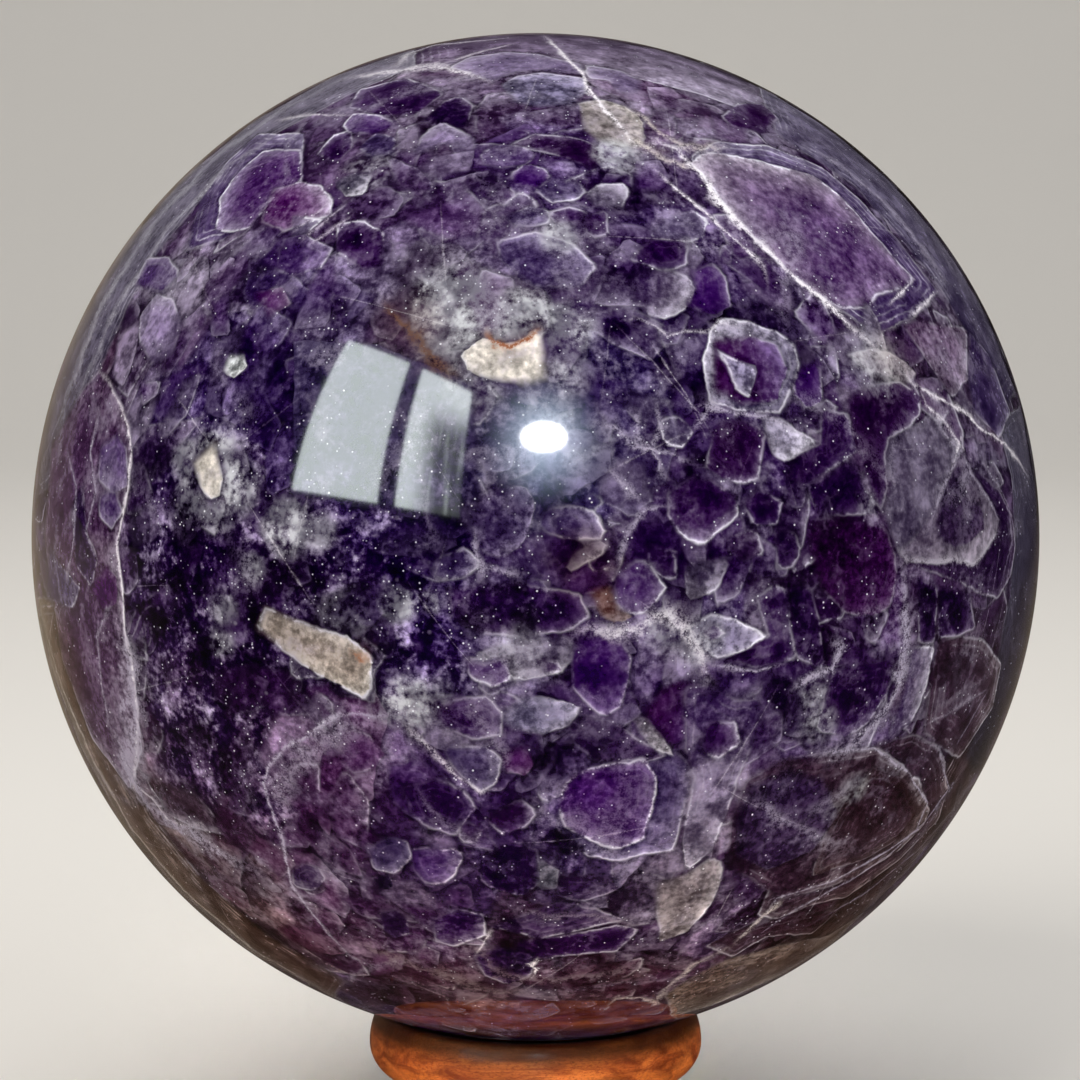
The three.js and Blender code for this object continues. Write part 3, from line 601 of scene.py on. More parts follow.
def view_axes():
    """Where the viewer stands, and the directions of sight, right and up."""
    towards = Vector((0, -math.cos(VIEW_ELEVATION), math.sin(VIEW_ELEVATION)))
    eye = BALL_CENTRE + towards * VIEW_DISTANCE
    right = Vector((1, 0, 0))
    return eye, -towards, right, right.cross(-towards)


def seen_directions(places):
    """Directions from the ball's centre to places given across and up as they are seen."""
    places = np.atleast_2d(np.asarray(places, float)) / DRAWN_RADIUS
    reach = np.linalg.norm(places, axis=1, keepdims=True)
    places = places * np.minimum(1, 0.998 / np.maximum(reach, SLIGHT))
    eye, sight, right, up = (np.array(axis) for axis in view_axes())
    spread = math.tan(math.asin(BALL_RADIUS / VIEW_DISTANCE))
    rays = sight + spread * (places[:, :1] * right + places[:, 1:] * up)
    rays /= np.linalg.norm(rays, axis=1, keepdims=True)
    start = eye - np.array(BALL_CENTRE)
    along = rays @ start
    depth = -along - np.sqrt(np.maximum(along ** 2 - start @ start + BALL_RADIUS ** 2, 0))
    return (start + depth[:, None] * rays) / BALL_RADIUS


def flat_frame(middle):
    """Two directions that lie flat on the ball at a point, to the right and up as far as they can."""
    upright = np.array([0, 0, 1.0]) if abs(middle[2]) < 0.95 else np.array([0, 1.0, 0])
    right = np.cross(upright, middle)
    right /= np.linalg.norm(right)
    return right, np.cross(middle, right)


def flattened(directions, middle, right, up):
    """Places in millimetres on a map of the ball's surface around a point."""
    height = np.clip(directions @ middle, -1, 1)
    turn = np.arccos(height)
    stretch = RADIUS_MM * turn / np.maximum(np.sin(turn), 1e-6)
    return np.stack([directions @ right, directions @ up], axis=-1) * stretch[..., None]


def border_distance(points, outline):
    """Distance in millimetres from each point to a closed outline, negative inside it."""
    nearest = np.full(len(points), FAR)
    inside = np.zeros(len(points), bool)
    for start, end in zip(outline, np.roll(outline, -1, axis=0)):
        edge = end - start
        offset = points - start
        share = np.clip(offset @ edge / max(edge @ edge, SLIGHT), 0, 1)
        nearest = np.minimum(nearest, np.linalg.norm(offset - share[:, None] * edge, axis=1))
        crosses = (start[1] > points[:, 1]) != (end[1] > points[:, 1])
        if crosses.any():
            slope = edge[0] / (edge[1] if abs(edge[1]) > SLIGHT else SLIGHT)
            inside ^= crosses & (points[:, 0] < start[0] + (points[:, 1] - start[1]) * slope)
    return np.where(inside, -nearest, nearest)


def finer(path, closed, step=1.5):
    """A path with points added so that none of its edges is longer than step."""
    path = [np.array(point, float) for point in path]
    ends = path[1:] + path[:1] if closed else path[1:]
    points = []
    for start, end in zip(path, ends):
        count = max(1, int(np.ceil(np.linalg.norm(end - start) / step)))
        points += [start + (end - start) * i / count for i in range(count)]
    if not closed:
        points.append(path[-1])
    return np.array(points)


# The stone's figure, worked out as values on the ball's mesh


class Stone:
    """The crystals, veins and fields that the ball's surface cuts through, painted on its mesh."""

    def __init__(self, mesh):
        self.mesh = mesh
        count = len(mesh.vertices)
        points = np.empty(count * 3)
        mesh.vertices.foreach_get("co", points)
        points = points.reshape(-1, 3) - np.array(BALL_CENTRE)
        self.points = points / np.linalg.norm(points, axis=1, keepdims=True)
        corners = np.empty(len(mesh.loops), int)
        mesh.loops.foreach_get("vertex_index", corners)
        self.corners = corners.reshape(-1, 4)
        self.faces = self.points[self.corners].mean(axis=1)
        self.random = np.random.default_rng(SEED)
        count = len(self.corners)
        self.border = np.full((LAYERS, count, 4), OUTSIDE)
        self.grade = np.zeros((LAYERS, count, 4))
        self.core = np.zeros((LAYERS, count, 4))
        self.rim = np.zeros((LAYERS, count, 4))
        self.more = np.zeros((LAYERS, count, 3))
        self.used = np.zeros(count, int)
        self.closed = np.zeros(count, bool)
        self.vein = np.zeros((VEINS_MEETING, count, 4, 3))
        self.vein[..., 0] = OUTSIDE
        self.tint = np.zeros((VEINS_MEETING, count, 4))
        self.nearest = np.full((VEINS_MEETING, count), FAR)
        self.vein_number = 0

    def lay_crystal(self, outline, look, pale_side=None):
        """Puts one crystal, given as directions around its outline, under those already laid."""
        core, rim, spread, line, bands, cover, grain = look
        middle = outline.mean(axis=0)
        middle /= np.linalg.norm(middle)
        right, up = flat_frame(middle)
        flat = flattened(outline, middle, right, up)
        reach = np.linalg.norm(flat, axis=1).max() / RADIUS_MM + 0.03
        limit = math.cos(min(reach, 3.1))
        faces = np.nonzero((self.faces @ middle > limit) & ~self.closed)[0]
        if not len(faces):
            return
        vertices, which = np.unique(self.corners[faces], return_inverse=True)
        which = which.reshape(-1, 4)
        places = flattened(self.points[vertices], middle, right, up)
        distance = border_distance(places, flat)
        centre = distance[which].mean(axis=1)
        last = self.used[faces] == LAYERS - 1
        wanted = centre < np.where(last, LAST_REACH, EDGE_REACH)
        faces, which, centre = faces[wanted], which[wanted], centre[wanted]
        if not len(faces):
            return
        if pale_side is None:
            high = middle[2] > self.random.uniform(0.2, 0.8)
            pale_side = self.random.uniform(40, 140) if high else self.random.uniform(-95, 5)
        grade = self.grading(places, distance, spread, pale_side)
        slot = self.used[faces]
        self.border[slot, faces] = distance[which]
        self.grade[slot, faces] = grade[which]
        self.core[slot, faces] = (*core, line)
        self.rim[slot, faces] = (*rim, bands)
        self.more[slot, faces] = (cover, grain, self.random.random())
        self.used[faces] += 1
        covered = (centre < -EDGE_REACH) & (cover > SOLID_COVER)
        self.closed[faces[covered | (self.used[faces] >= LAYERS)]] = True

    @staticmethod
    def grading(places, distance, spread, pale_side):
        """How far each place has gone from the core's colour to the rim's, from 0 to 1."""
        angle = math.radians(pale_side)
        along = places @ np.array([math.cos(angle), math.sin(angle)])
        low, high = along[distance < 0.3].min(initial=-1), along[distance < 0.3].max(initial=1)
        lit = np.clip((along - low) / max(high - low, 0.1), 0, 1)
        if spread == "side":
            return lit ** 1.3
        return np.exp(-np.maximum(-distance, 0) / (spread * (0.5 + lit))) * (0.2 + 0.8 * lit)

    def lay_vein(self, path, colour, width, strength):
        """Draws one vein along a path of directions, tapering at both its ends."""
        colour = tone(colour)
        lengths = np.linalg.norm(np.diff(path, axis=0), axis=1) * RADIUS_MM
        total = lengths.sum()
        passed = 0.0
        for start, end, length in zip(path[:-1], path[1:], lengths):
            middle = (start + end) / np.linalg.norm(start + end)
            reach = (length / 2 + 3 * width + 1.2) / RADIUS_MM
            faces = np.nonzero(self.faces @ middle > math.cos(reach))[0]
            side = np.cross(start, end)
            side /= np.linalg.norm(side)
            ahead = np.cross(side, middle)
            corners = self.points[self.corners[faces]]
            across = corners @ side * RADIUS_MM
            along = corners @ ahead * RADIUS_MM
            centre_gap = np.hypot(across.mean(axis=1),
                                  np.maximum(np.abs(along.mean(axis=1)) - length / 2, 0))
            run = (passed + length / 2 + along) / total
            taper = np.clip(4 * np.minimum(run, 1 - run) + 0.15, 0, 1)
            beyond = np.maximum(np.abs(along) - length / 2 - VEIN_OVERLAP, 0)
            value = np.stack([across / width, strength * taper * (beyond < 0.5), beyond], axis=-1)
            self.keep_vein(faces, centre_gap, value, (*colour, self.vein_number))
            passed += length
        self.vein_number += 1

    def keep_vein(self, faces, gap, value, tint):
        """Keeps the nearest veins of each face, only one stretch of any one vein."""
        for slot in range(VEINS_MEETING):
            same = self.tint[slot, faces, 3] == tint[3] + 1
            better = same & (gap < self.nearest[slot, faces])
            self.put_vein(slot, faces[better], gap[better], value[better], tint)
            faces, gap, value = faces[~same], gap[~same], value[~same]
            if not len(faces):
                return
            free = gap < self.nearest[slot, faces]
            taken = faces[free]
            kept = [self.vein[slot, taken].copy(), self.tint[slot, taken].copy(),
                    self.nearest[slot, taken].copy()]
            self.put_vein(slot, taken, gap[free], value[free], tint)
            faces, gap, value = faces[~free], gap[~free], value[~free]
            self.push_down(slot + 1, taken, kept)

    def push_down(self, slot, faces, kept):
        """Moves the veins that a nearer one has replaced to the next slots."""
        if slot >= VEINS_MEETING or not len(faces):
            return
        moves = kept[2] < self.nearest[slot, faces]
        faces, kept = faces[moves], [part[moves] for part in kept]
        below = [self.vein[slot, faces].copy(), self.tint[slot, faces].copy(),
                 self.nearest[slot, faces].copy()]
        self.vein[slot, faces], self.tint[slot, faces], self.nearest[slot, faces] = kept
        self.push_down(slot + 1, faces, below)

    def put_vein(self, slot, faces, gap, value, tint):
        """Writes a vein down in one slot of its faces."""
        self.vein[slot, faces] = value
        self.tint[slot, faces] = (*tint[:3], tint[3] + 1)
        self.nearest[slot, faces] = gap

    def soft_field(self, spots):
        """How strongly each point of the ball belongs to a set of soft round spots."""
        total = np.zeros(len(self.points))
        for direction, reach, strength in spots:
            turn = np.arccos(np.clip(self.points @ direction, -1, 1)) * RADIUS_MM
            total = np.maximum(total, strength * np.exp(-(turn / reach) ** 4 * 0.7))
        return total

    def write(self, ground, zones):
        """Stores everything as attributes that the stone's material reads."""
        def keep(name, kind, domain, values, key):
            attribute = self.mesh.attributes.new(name, kind, domain)
            attribute.data.foreach_set(key, np.ascontiguousarray(values, np.float32).ravel())

        # The noise is calmer where the ball turns away, so that it doesn't crowd along the outline
        towards = -np.array(view_axes()[1])
        lively = np.clip((np.abs(self.points @ towards) - 0.12) / 0.5, 0.3, 1)[:, None]
        keep("ground", "FLOAT_COLOR", "POINT", np.hstack([ground, lively]), "color")
        keep("zones", "FLOAT_COLOR", "POINT", zones, "color")
        for i in range(LAYERS):
            keep(f"border_{i}", "FLOAT", "CORNER", self.border[i], "value")
            keep(f"grade_{i}", "FLOAT", "CORNER", self.grade[i], "value")
            keep(f"core_{i}", "FLOAT_COLOR", "FACE", self.core[i], "color")
            keep(f"rim_{i}", "FLOAT_COLOR", "FACE", self.rim[i], "color")
            keep(f"more_{i}", "FLOAT_VECTOR", "FACE", self.more[i], "vector")
        for i in range(VEINS_MEETING):
            keep(f"vein_{i}", "FLOAT_VECTOR", "CORNER", self.vein[i], "vector")
            keep(f"tint_{i}", "FLOAT_COLOR", "FACE", self.tint[i], "color")


def spread_points(count, random):
    """Directions spread evenly over the ball, each moved a little at random."""
    steps = np.arange(count) + 0.5
    height = 1 - 2 * steps / count
    turn = math.pi * (1 + math.sqrt(5)) * steps
    flat = np.sqrt(1 - height ** 2)
    points = np.stack([flat * np.cos(turn), flat * np.sin(turn), height], axis=1)
    points += random.normal(0, 0.9 / math.sqrt(count), points.shape)
    points = points[random.permutation(count)]
    return points / np.linalg.norm(points, axis=1, keepdims=True)


def random_outline(middle, size, random):
    """A cut crystal of four to seven sides, as directions around its outline."""
    right, up = flat_frame(middle)
    sides = random.choice([4, 5, 5, 6, 6, 7])
    turn = random.uniform(0, 2 * math.pi)
    angles = turn + (np.arange(sides) + random.uniform(-0.3, 0.3, sides)) * 2 * math.pi / sides
    reach = size / 2 * random.uniform(0.6, 1.25, sides)
    stretch = random.uniform(1, 1.9)
    lean = random.uniform(0, math.pi)
    flat = np.stack([np.cos(angles) * reach * stretch, np.sin(angles) * reach / stretch ** 0.5], axis=1)
    spin = np.array([[math.cos(lean), math.sin(lean)], [-math.sin(lean), math.cos(lean)]])
    flat = finer(flat @ spin, True) / RADIUS_MM
    outline = middle + flat[:, :1] * right + flat[:, 1:] * up
    return outline / np.linalg.norm(outline, axis=1, keepdims=True)


def random_path(start, random, length, wander):
    """A vein that wanders over the ball from a start, as directions along it."""
    right, up = flat_frame(start)
    angle = random.uniform(0, 2 * math.pi)
    heading = math.cos(angle) * right + math.sin(angle) * up
    path = [start]
    step = 2.5 / RADIUS_MM
    for _ in range(int(length / 2.5)):
        side = np.cross(path[-1], heading)
        heading = heading + side * random.normal(0, wander)
        heading -= heading @ path[-1] * path[-1]
        heading /= np.linalg.norm(heading)
        point = path[-1] + heading * step
        path.append(point / np.linalg.norm(point))
    return np.array(path)


def front_share(directions):
    """1 where a direction faces the viewer, 0 where the drawn figure of the front has ended."""
    towards = -np.array(view_axes()[1])
    return np.clip((directions @ towards - 0.16) / 0.1, 0, 1)


def lay_ground(stone):
    """The soft colours under the crystals, drawn for the front and made up in keeping elsewhere."""
    random = np.random.default_rng(SEED + 1)
    front = [(seen_directions((x, y))[0], reach, tone(colour)) for x, y, reach, colour in FIELDS]
    palette = [colour for *_, colour in FIELDS]
    back = [(point, random.uniform(7, 13), tone(palette[random.integers(len(palette))]))
            for point in spread_points(90, random) if front_share(point) < 0.5]
    total = np.full((len(stone.points), 1), 0.02)
    colour = total * tone(GROUND)
    for middle, reach, shade in front + back:
        turn = np.arccos(np.clip(stone.points @ middle, -1, 1)) * RADIUS_MM
        weight = np.exp(-(turn / reach) ** 2 * 2)[:, None]
        total = total + weight
        colour = colour + weight * shade
    return colour / total * (1.03, 0.98, 1.0)


def lay_zones(stone):
    """Drusy, quartz, milky and smoky zones, drawn for the front and made up elsewhere."""
    random = np.random.default_rng(SEED + 2)
    zones = []
    for spots, count, low, high in ((DRUSY, 9, 7, 14), (QUARTZ, 9, 3, 5), (MILKY, 14, 5, 9),
                                    (SMOKY_AND_EDGE_LIGHT, 8, 5, 9)):
        front = [(seen_directions((x, y))[0], reach, strength) for x, y, reach, strength in spots]
        back = [(point, random.uniform(low, high), random.uniform(0.5, 1))
                for point in spread_points(count * 2, random) if front_share(point) < 0.2]
        zones.append(stone.soft_field(front + back[:count]))
    return np.stack(zones, axis=1)


def clear_zones(stone, zones, outline):
    """Takes the zones away inside an outline, so that its crystal stays clean."""
    middle = outline.mean(axis=0)
    middle /= np.linalg.norm(middle)
    near = np.nonzero(stone.points @ middle > 0.97)[0]
    right, up = flat_frame(middle)
    places = flattened(stone.points[near], middle, right, up)
    distance = border_distance(places, flattened(outline, middle, right, up))
    zones[near] *= np.clip(distance + 0.3, 0, 1)[:, None]


def drawn_look(name):
    """A look with its colours as numbers."""
    core, rim, *rest = LOOKS[name]
    return (tone(core), tone(rim), *rest)


def made_up_look(base, drusy, bold, size, random):
    """A look in keeping with the ground's colour, plainer where it is drusy, bolder at the back."""
    plain = 1 - PLAIN_DRUSY * drusy
    pale = tone(PALE_RIM)
    core = base * random.uniform(0.25, 0.85) * np.array([1.0, 0.82, 1.02])
    rim = base * random.uniform(0.8, 1.05)
    rim += (pale - rim) * random.uniform(0, 0.6 + 0.3 * bold) * plain
    mood = random.random()
    if mood > 0.86:
        core = core + (pale - core) * random.uniform(0.2, 0.5)
    spread = random.uniform(0.35, 0.9) * max(size / 5, 0.6)
    line = random.uniform(0, 0.8 + 0.2 * bold) ** (2 - bold) * plain
    bands = random.uniform(0, 0.6) if random.random() < 0.1 else 0.0
    return (core, rim, spread if mood < 0.5 else "side", line, bands,
            random.uniform(0.7, 0.97), random.uniform(0.2, 0.7))


def lay_crystals(stone, ground, zones):
    """The drawn crystals of the front on top, then ever larger ones made up below them."""
    for _, look, outline, *pale_side in reversed(CRYSTALS):
        directions = seen_directions(finer(outline, True))
        stone.lay_crystal(directions, drawn_look(look), *pale_side)
        if look in CLEAN_LOOKS:
            clear_zones(stone, zones, directions)
    random = stone.random
    for count, smallest, largest, share in MADE_UP:
        for middle in spread_points(count, random):
            nearest = int(np.argmax(stone.points @ middle))
            drusy = zones[nearest, 0]
            if random.random() > share * (1 - PLAIN_DRUSY * drusy):
                continue
            size = random.uniform(smallest, largest)
            bold = 1 - float(front_share(middle))
            look = made_up_look(ground[nearest], drusy, bold, size, random)
            stone.lay_crystal(random_outline(middle, size, random), look)


def lay_veins(stone):
    """The drawn veins of the front, then others on the rest of the ball."""
    for _, colour, width, strength, path in VEINS:
        stone.lay_vein(seen_directions(finer(path, False, 1.2)), colour, width, strength)
    random = np.random.default_rng(SEED + 3)
    colours = [WHITE, WHITE, WHITE, MILK, CREAM, EARTH]
    for point in spread_points(60, random):
        path = random_path(point, random, random.uniform(8, 45), 0.22)
        path = path[front_share(path) <= 0]
        if front_share(point) > 0 or len(path) < 3:
            continue
        width = random.choice([0.12, 0.18, 0.25, 0.4])
        stone.lay_vein(path, colours[random.integers(len(colours))], width, random.uniform(0.5, 1))
    for point in spread_points(160, random):
        path = random_path(point, random, random.uniform(5, 16), 0.02)
        stone.lay_vein(path, WHITE, random.uniform(0.04, 0.08), random.uniform(0.08, 0.3))
    for point in spread_points(240, random):
        path = random_path(point, random, random.uniform(5, 20), 0.3)
        stone.lay_vein(path, MILK, random.uniform(0.3, 0.9), random.uniform(0.08, 0.35))


# Laying out shader nodes


def fill_inputs(tree, made, inputs):
    """Sets a node's inputs to numbers and colours, or joins them to outputs."""
    for name, value in inputs.items():
        if isinstance(value, bpy.types.NodeSocket):
            tree.links.new(value, made.inputs[name])
        else:
            made.inputs[name].default_value = value


def node(tree, kind, inputs=(), **settings):
    """Adds a shader node with its settings and inputs."""
    made = tree.nodes.new("ShaderNode" + kind)
    for name, value in settings.items():
        setattr(made, name, value)
    fill_inputs(tree, made, dict(inputs))
    return made


def tree_of(*values):
    """The node tree that the outputs among some values belong to."""
    return next(value.id_data for value in values if isinstance(value, bpy.types.NodeSocket))


def calc(operation, *values, clamp=False):
    """A Math node's result; at least one of the values is an output."""
    made = node(tree_of(*values), "Math", dict(enumerate(values)), operation=operation, use_clamp=clamp)
    return made.outputs[0]


def times(first, second, clamp=False):
    return calc("MULTIPLY", first, second, clamp=clamp)


def plus(first, second):
    return calc("ADD", first, second)


def minus(first, second, clamp=False):
    return calc("SUBTRACT", first, second, clamp=clamp)


def times_plus(value, factor, extra, clamp=False):
    return calc("MULTIPLY_ADD", value, factor, extra, clamp=clamp)


def shared(first, second, share):
    """The first value by its share and the second by the rest."""
    return times_plus(first, share, times(second, 1 - share))


def falling(value, rate):
    """1 where a value is nothing, falling to 0 as it grows."""
    return calc("EXPONENT", times(value, -rate))


def blend(share, first, second, way="MIX"):
    """A Mix Color node's result; at least one of the three is an output."""
    made = node(tree_of(share, first, second), "Mix", {0: share, 6: first, 7: second},
                data_type="RGBA", blend_type=way)
    made.clamp_factor = True
    return made.outputs[2]


def ease(value, low, high, start=0.0, end=1.0):
    """A value carried smoothly from start to end as it goes from low to high."""
    made = node(value.id_data, "MapRange", {0: value, 1: low, 2: high, 3: start, 4: end},
                interpolation_type="SMOOTHSTEP")
    return made.outputs[0]


def vector(operation, first, second):
    """The Vector Math node that joins two vectors."""
    return node(first.id_data, "VectorMath", {0: first, 1: second}, operation=operation).outputs


def scaled(place, scale):
    """A vector made longer or shorter."""
    made = node(place.id_data, "VectorMath", {0: place, "Scale": scale}, operation="SCALE")
    return made.outputs[0]


def stretched(place, scale):
    """Places stretched by their own scale on each axis."""
    return node(place.id_data, "Mapping", {"Vector": place, "Scale": scale}).outputs[0]


def noise(place, scale, detail=3.0, roughness=0.55, distortion=0.0):
    """A noise texture's outputs, even from 0 to 1."""
    inputs = {"Vector": place, "Scale": scale, "Detail": detail, "Roughness": roughness,
              "Distortion": distortion}
    return node(place.id_data, "TexNoise", inputs).outputs


def parted(colour, **settings):
    """The three parts of a colour."""
    return node(colour.id_data, "SeparateColor", {0: colour}, **settings).outputs


def axes(place):
    """The three parts of a vector."""
    return node(place.id_data, "SeparateXYZ", {0: place}).outputs


def speckles(place, scale, far, near):
    """Scattered round dots, and three random values for each of them."""
    cells = node(place.id_data, "TexVoronoi", {"Vector": place, "Scale": scale, "Randomness": 1.0},
                 feature="F1").outputs
    return ease(cells["Distance"], far, near), parted(cells["Color"])


def attribute(tree, name):
    return node(tree, "Attribute", attribute_name=name, attribute_type="GEOMETRY").outputs


def opaque(colour):
    """A colour with its alpha, for a shader node."""
    return (*colour, 1.0)


def paint(colour):
    """A colour of the stone for a shader node."""
    return opaque(tone(colour))


def cleared(owner):
    """The empty node tree of a material, a lamp or the world."""
    owner.use_nodes = True
    owner.node_tree.nodes.clear()
    return owner.node_tree


def shine(tree, strength):
    """White light from a lamp, of a strength that changes over it."""
    light = node(tree, "Emission", {"Color": opaque(WHITE_LIGHT), "Strength": strength})
    node(tree, "OutputLight", {"Surface": light.outputs[0]})


def new_group(name, inputs, outputs):
    """An empty shader node group with named inputs and outputs."""
    group = bpy.data.node_groups.new(name, "ShaderNodeTree")
    for title, kind, value in inputs:
        socket = group.interface.new_socket(title, in_out="INPUT", socket_type="NodeSocket" + kind)
        if value is not None:
            socket.default_value = value
    for title, kind in outputs:
        group.interface.new_socket(title, in_out="OUTPUT", socket_type="NodeSocket" + kind)
    entry = group.nodes.new("NodeGroupInput")
    leave = group.nodes.new("NodeGroupOutput")
    return group, entry.outputs, leave.inputs


def apply(tree, group, output, inputs):
    """Adds a node group, sets or joins its inputs by name and gives back one output."""
    made = tree.nodes.new("ShaderNodeGroup")
    made.node_tree = group
    fill_inputs(tree, made, inputs)
    return made.outputs[output]


def cut_crystal_group():
    """One crystal over what lies below it: shadow, fill, growth bands, outline and a milky edge."""
    group, given, result = new_group(
        "Cut crystal",
        [("Under", "Color", None), ("Border", "Float", OUTSIDE), ("Grade", "Float", 0.0),
         ("Core", "Color", None), ("Rim", "Color", None), ("Outline", "Float", 0.0),
         ("Bands", "Float", 0.0), ("More", "Vector", None), ("Warp", "Float", 0.0),
         ("Cloud", "Vector", None), ("Fine", "Float", 0.5), ("Line", "Color", None)],
        [("Color", "Color")],
    )
    cover, grain, chance = axes(given["More"])
    own = node(group, "TexWhiteNoise", {"W": chance}, noise_dimensions="1D").outputs["Color"]
    own = vector("SUBTRACT", own, HALF)[0]
    cloud = vector("DOT_PRODUCT", own, given["Cloud"])["Value"]
    border = plus(given["Border"], given["Warp"])
    lit = ease(given["Grade"], 0.15, 0.8)
    width = times_plus(lit, -0.5, 0.57)
    inside = ease(border, width, times(width, -1))
    depth = calc("MAXIMUM", times(border, -1), 0)
    outward = calc("MAXIMUM", border, 0)
    uneven = minus(given["Fine"], 0.5)

    # The crystal's own colour, from core to rim, clouded and crossed by growth bands
    cloudy = plus(times(cloud, 0.9), uneven)
    drift = times_plus(cloudy, plus(grain, 0.1), given["Grade"], clamp=True)
    fill = blend(drift, given["Core"], given["Rim"])
    gain = times(plus(times(cloud, 0.8), uneven), grain)
    gain = calc("EXPONENT", calc("MINIMUM", times(gain, 2.2), 0.12))
    fill = blend(1.0, fill, gain, "MULTIPLY")
    wave = calc("COSINE", times_plus(depth, BAND_TURN, times(uneven, 6)))
    wave = calc("POWER", times_plus(wave, 0.5, 0.5), 5)
    bands = times(times(wave, falling(depth, 0.5)), given["Bands"])
    fill = blend(times(bands, ease(cloud, -0.25, 0.2)), fill, given["Line"])

    # Laid over what is below, with a little shade round it
    shade = times_plus(times(falling(outward, 2.5), cover), -0.4, 1.0)
    under = blend(1.0, given["Under"], shade, "MULTIPLY")
    colour = blend(times(inside, cover), under, fill)

    # The outline, broken up, and the milky edge inside it
    sharp = falling(calc("POWER", calc("DIVIDE", border, OUTLINE_MM), 2), 1)
    broken = ease(times_plus(cloud, 1.3, given["Fine"]), 0.25, 0.56, 0.1, 1.0)
    haze = times(times(falling(depth, 1.6), inside), 0.45)
    edge = times(plus(sharp, haze), given["Outline"])
    whole = ease(given["Outline"], 0.75, 1.0, 0.0, 0.65)
    edge = times(edge, calc("MAXIMUM", times_plus(lit, 0.95, 0.05), whole))
    edge = times(edge, times(broken, 0.9), clamp=True)
    group.links.new(blend(edge, colour, given["Line"]), result["Color"])
    return group


def vein_group():
    """One vein drawn over the stone, broken up by noise."""
    group, given, result = new_group(
        "Vein",
        [("Under", "Color", None), ("Vein", "Vector", None), ("Tint", "Color", None),
         ("Warp", "Float", 0.0), ("Thick", "Float", 1.0), ("Fine", "Float", 0.5)],
        [("Color", "Color")],
    )
    off, strength, _ = axes(given["Vein"])
    across = times(plus(off, given["Warp"]), given["Thick"])
    body = falling(calc("POWER", across, 2), 1)
    halo = falling(calc("ABSOLUTE", off), 0.5)
    body = times_plus(halo, 0.22, body)
    uneven = ease(given["Fine"], 0.3, 0.62, 0.12, 1.1)
    share = times(times(body, strength), uneven, clamp=True)
    group.links.new(blend(share, given["Under"], given["Tint"]), result["Color"])
    return group


def stone_maps(tree, settings):
    """What the layers of the stone's colour share: its noise, its zones and the colours set for it."""
    place = scaled(node(tree, "TexCoord").outputs["Object"], 1 / MM)
    cloud = noise(place, CLOUDS, 3.0, 0.55, 0.2)["Color"]
    fine = noise(place, FINE_GRAIN, 3.0, 0.6)["Fac"]
    ground = attribute(tree, "ground")
    zones = attribute(tree, "zones")
    drusy, quartz, milky = parted(zones["Color"])
    line, ink, frost = (opaque(math.sqrt(part) for part in colour) for colour in
                        (settings.line_colour, settings.ink_colour, settings.frost_colour))
    return SimpleNamespace(
        place=place, cloud=cloud, clouds=parted(cloud),
        fine=times_plus(minus(fine, 0.5), ground["Alpha"], 0.5),
        tiny=noise(place, TINY_GRAIN, 2.0, 0.6)["Fac"],
        broad=noise(place, BROAD_CLOUDS, 2.0, 0.6)["Fac"],
        ground=ground["Color"], lively=ground["Alpha"],
        drusy=drusy, quartz=quartz, milky=milky, smoky=zones["Alpha"],
        line=line, ink=ink, frost=frost,
    )


def mottled_ground(maps):
    """The ground with its mottles, mist and pits, deepest where it is drusy."""
    clouds, fine, lively = maps.clouds, maps.fine, maps.lively
    patchy = times(minus(shared(clouds[1], fine, 0.7), 0.5), times(lively, 4))
    colour = blend(1.0, maps.ground, calc("EXPONENT", patchy), "MULTIPLY")
    mist = times(ease(shared(clouds[0], fine, 0.6), 0.46, 0.68, 0.0, 0.6), lively)
    colour = blend(mist, colour, paint(MIST))
    pits = ease(shared(fine, clouds[2], 0.3), 0.54, 0.42)
    pits = times(times(pits, lively), ease(maps.drusy, 0.0, 0.8, 0.15, 0.7))
    return blend(pits, colour, maps.ink)


def crystals_over(colour, maps):
    """The layers of cut crystals, laid on from the lowest up."""
    tree = maps.place.id_data
    crystal = cut_crystal_group()
    spread = scaled(vector("SUBTRACT", maps.cloud, HALF)[0], times(maps.lively, 4))
    warp = times_plus(minus(maps.fine, 0.5), 0.35, minus(maps.clouds[0], 0.5))
    for i in reversed(range(LAYERS)):
        core = attribute(tree, f"core_{i}")
        rim = attribute(tree, f"rim_{i}")
        colour = apply(tree, crystal, "Color", {
            "Under": colour, "Border": attribute(tree, f"border_{i}")["Fac"],
            "Grade": attribute(tree, f"grade_{i}")["Fac"], "Core": core["Color"], "Rim": rim["Color"],
            "Outline": core["Alpha"], "Bands": rim["Alpha"],
            "More": attribute(tree, f"more_{i}")["Vector"], "Warp": warp, "Cloud": spread,
            "Fine": maps.fine, "Line": maps.line,
        })
    return colour


def shadows_over(colour, maps):
    """Shadowed patches and soft mist over the crystals, and grains in the drusy zones."""
    clouds, fine, drusy = maps.clouds, maps.fine, maps.drusy
    shadow = minus(shared(clouds[0], fine, 0.7), 0.5)
    shadow = calc("EXPONENT", times(shadow, ease(drusy, 0.0, 0.8, 1.6, 3.4)))
    shadow = times(shadow, ease(drusy, 0.0, 0.9, 1.0, 1.05))
    colour = blend(1.0, colour, shadow, "MULTIPLY")
    mist = ease(shared(clouds[2], fine, 0.5), 0.5, 0.68)
    mist = times(times(mist, ease(maps.broad, 0.4, 0.6, 0.08, 0.35)), maps.lively)
    colour = blend(mist, colour, paint(THIN_MIST))
    speck, chances = speckles(maps.place, 1.1, 0.34, 0.1)
    speck = times(speck, ease(chances[0], 0.72, 0.95))
    return blend(times(speck, ease(drusy, 0.2, 0.9, 0.02, 0.3)), colour, maps.line)


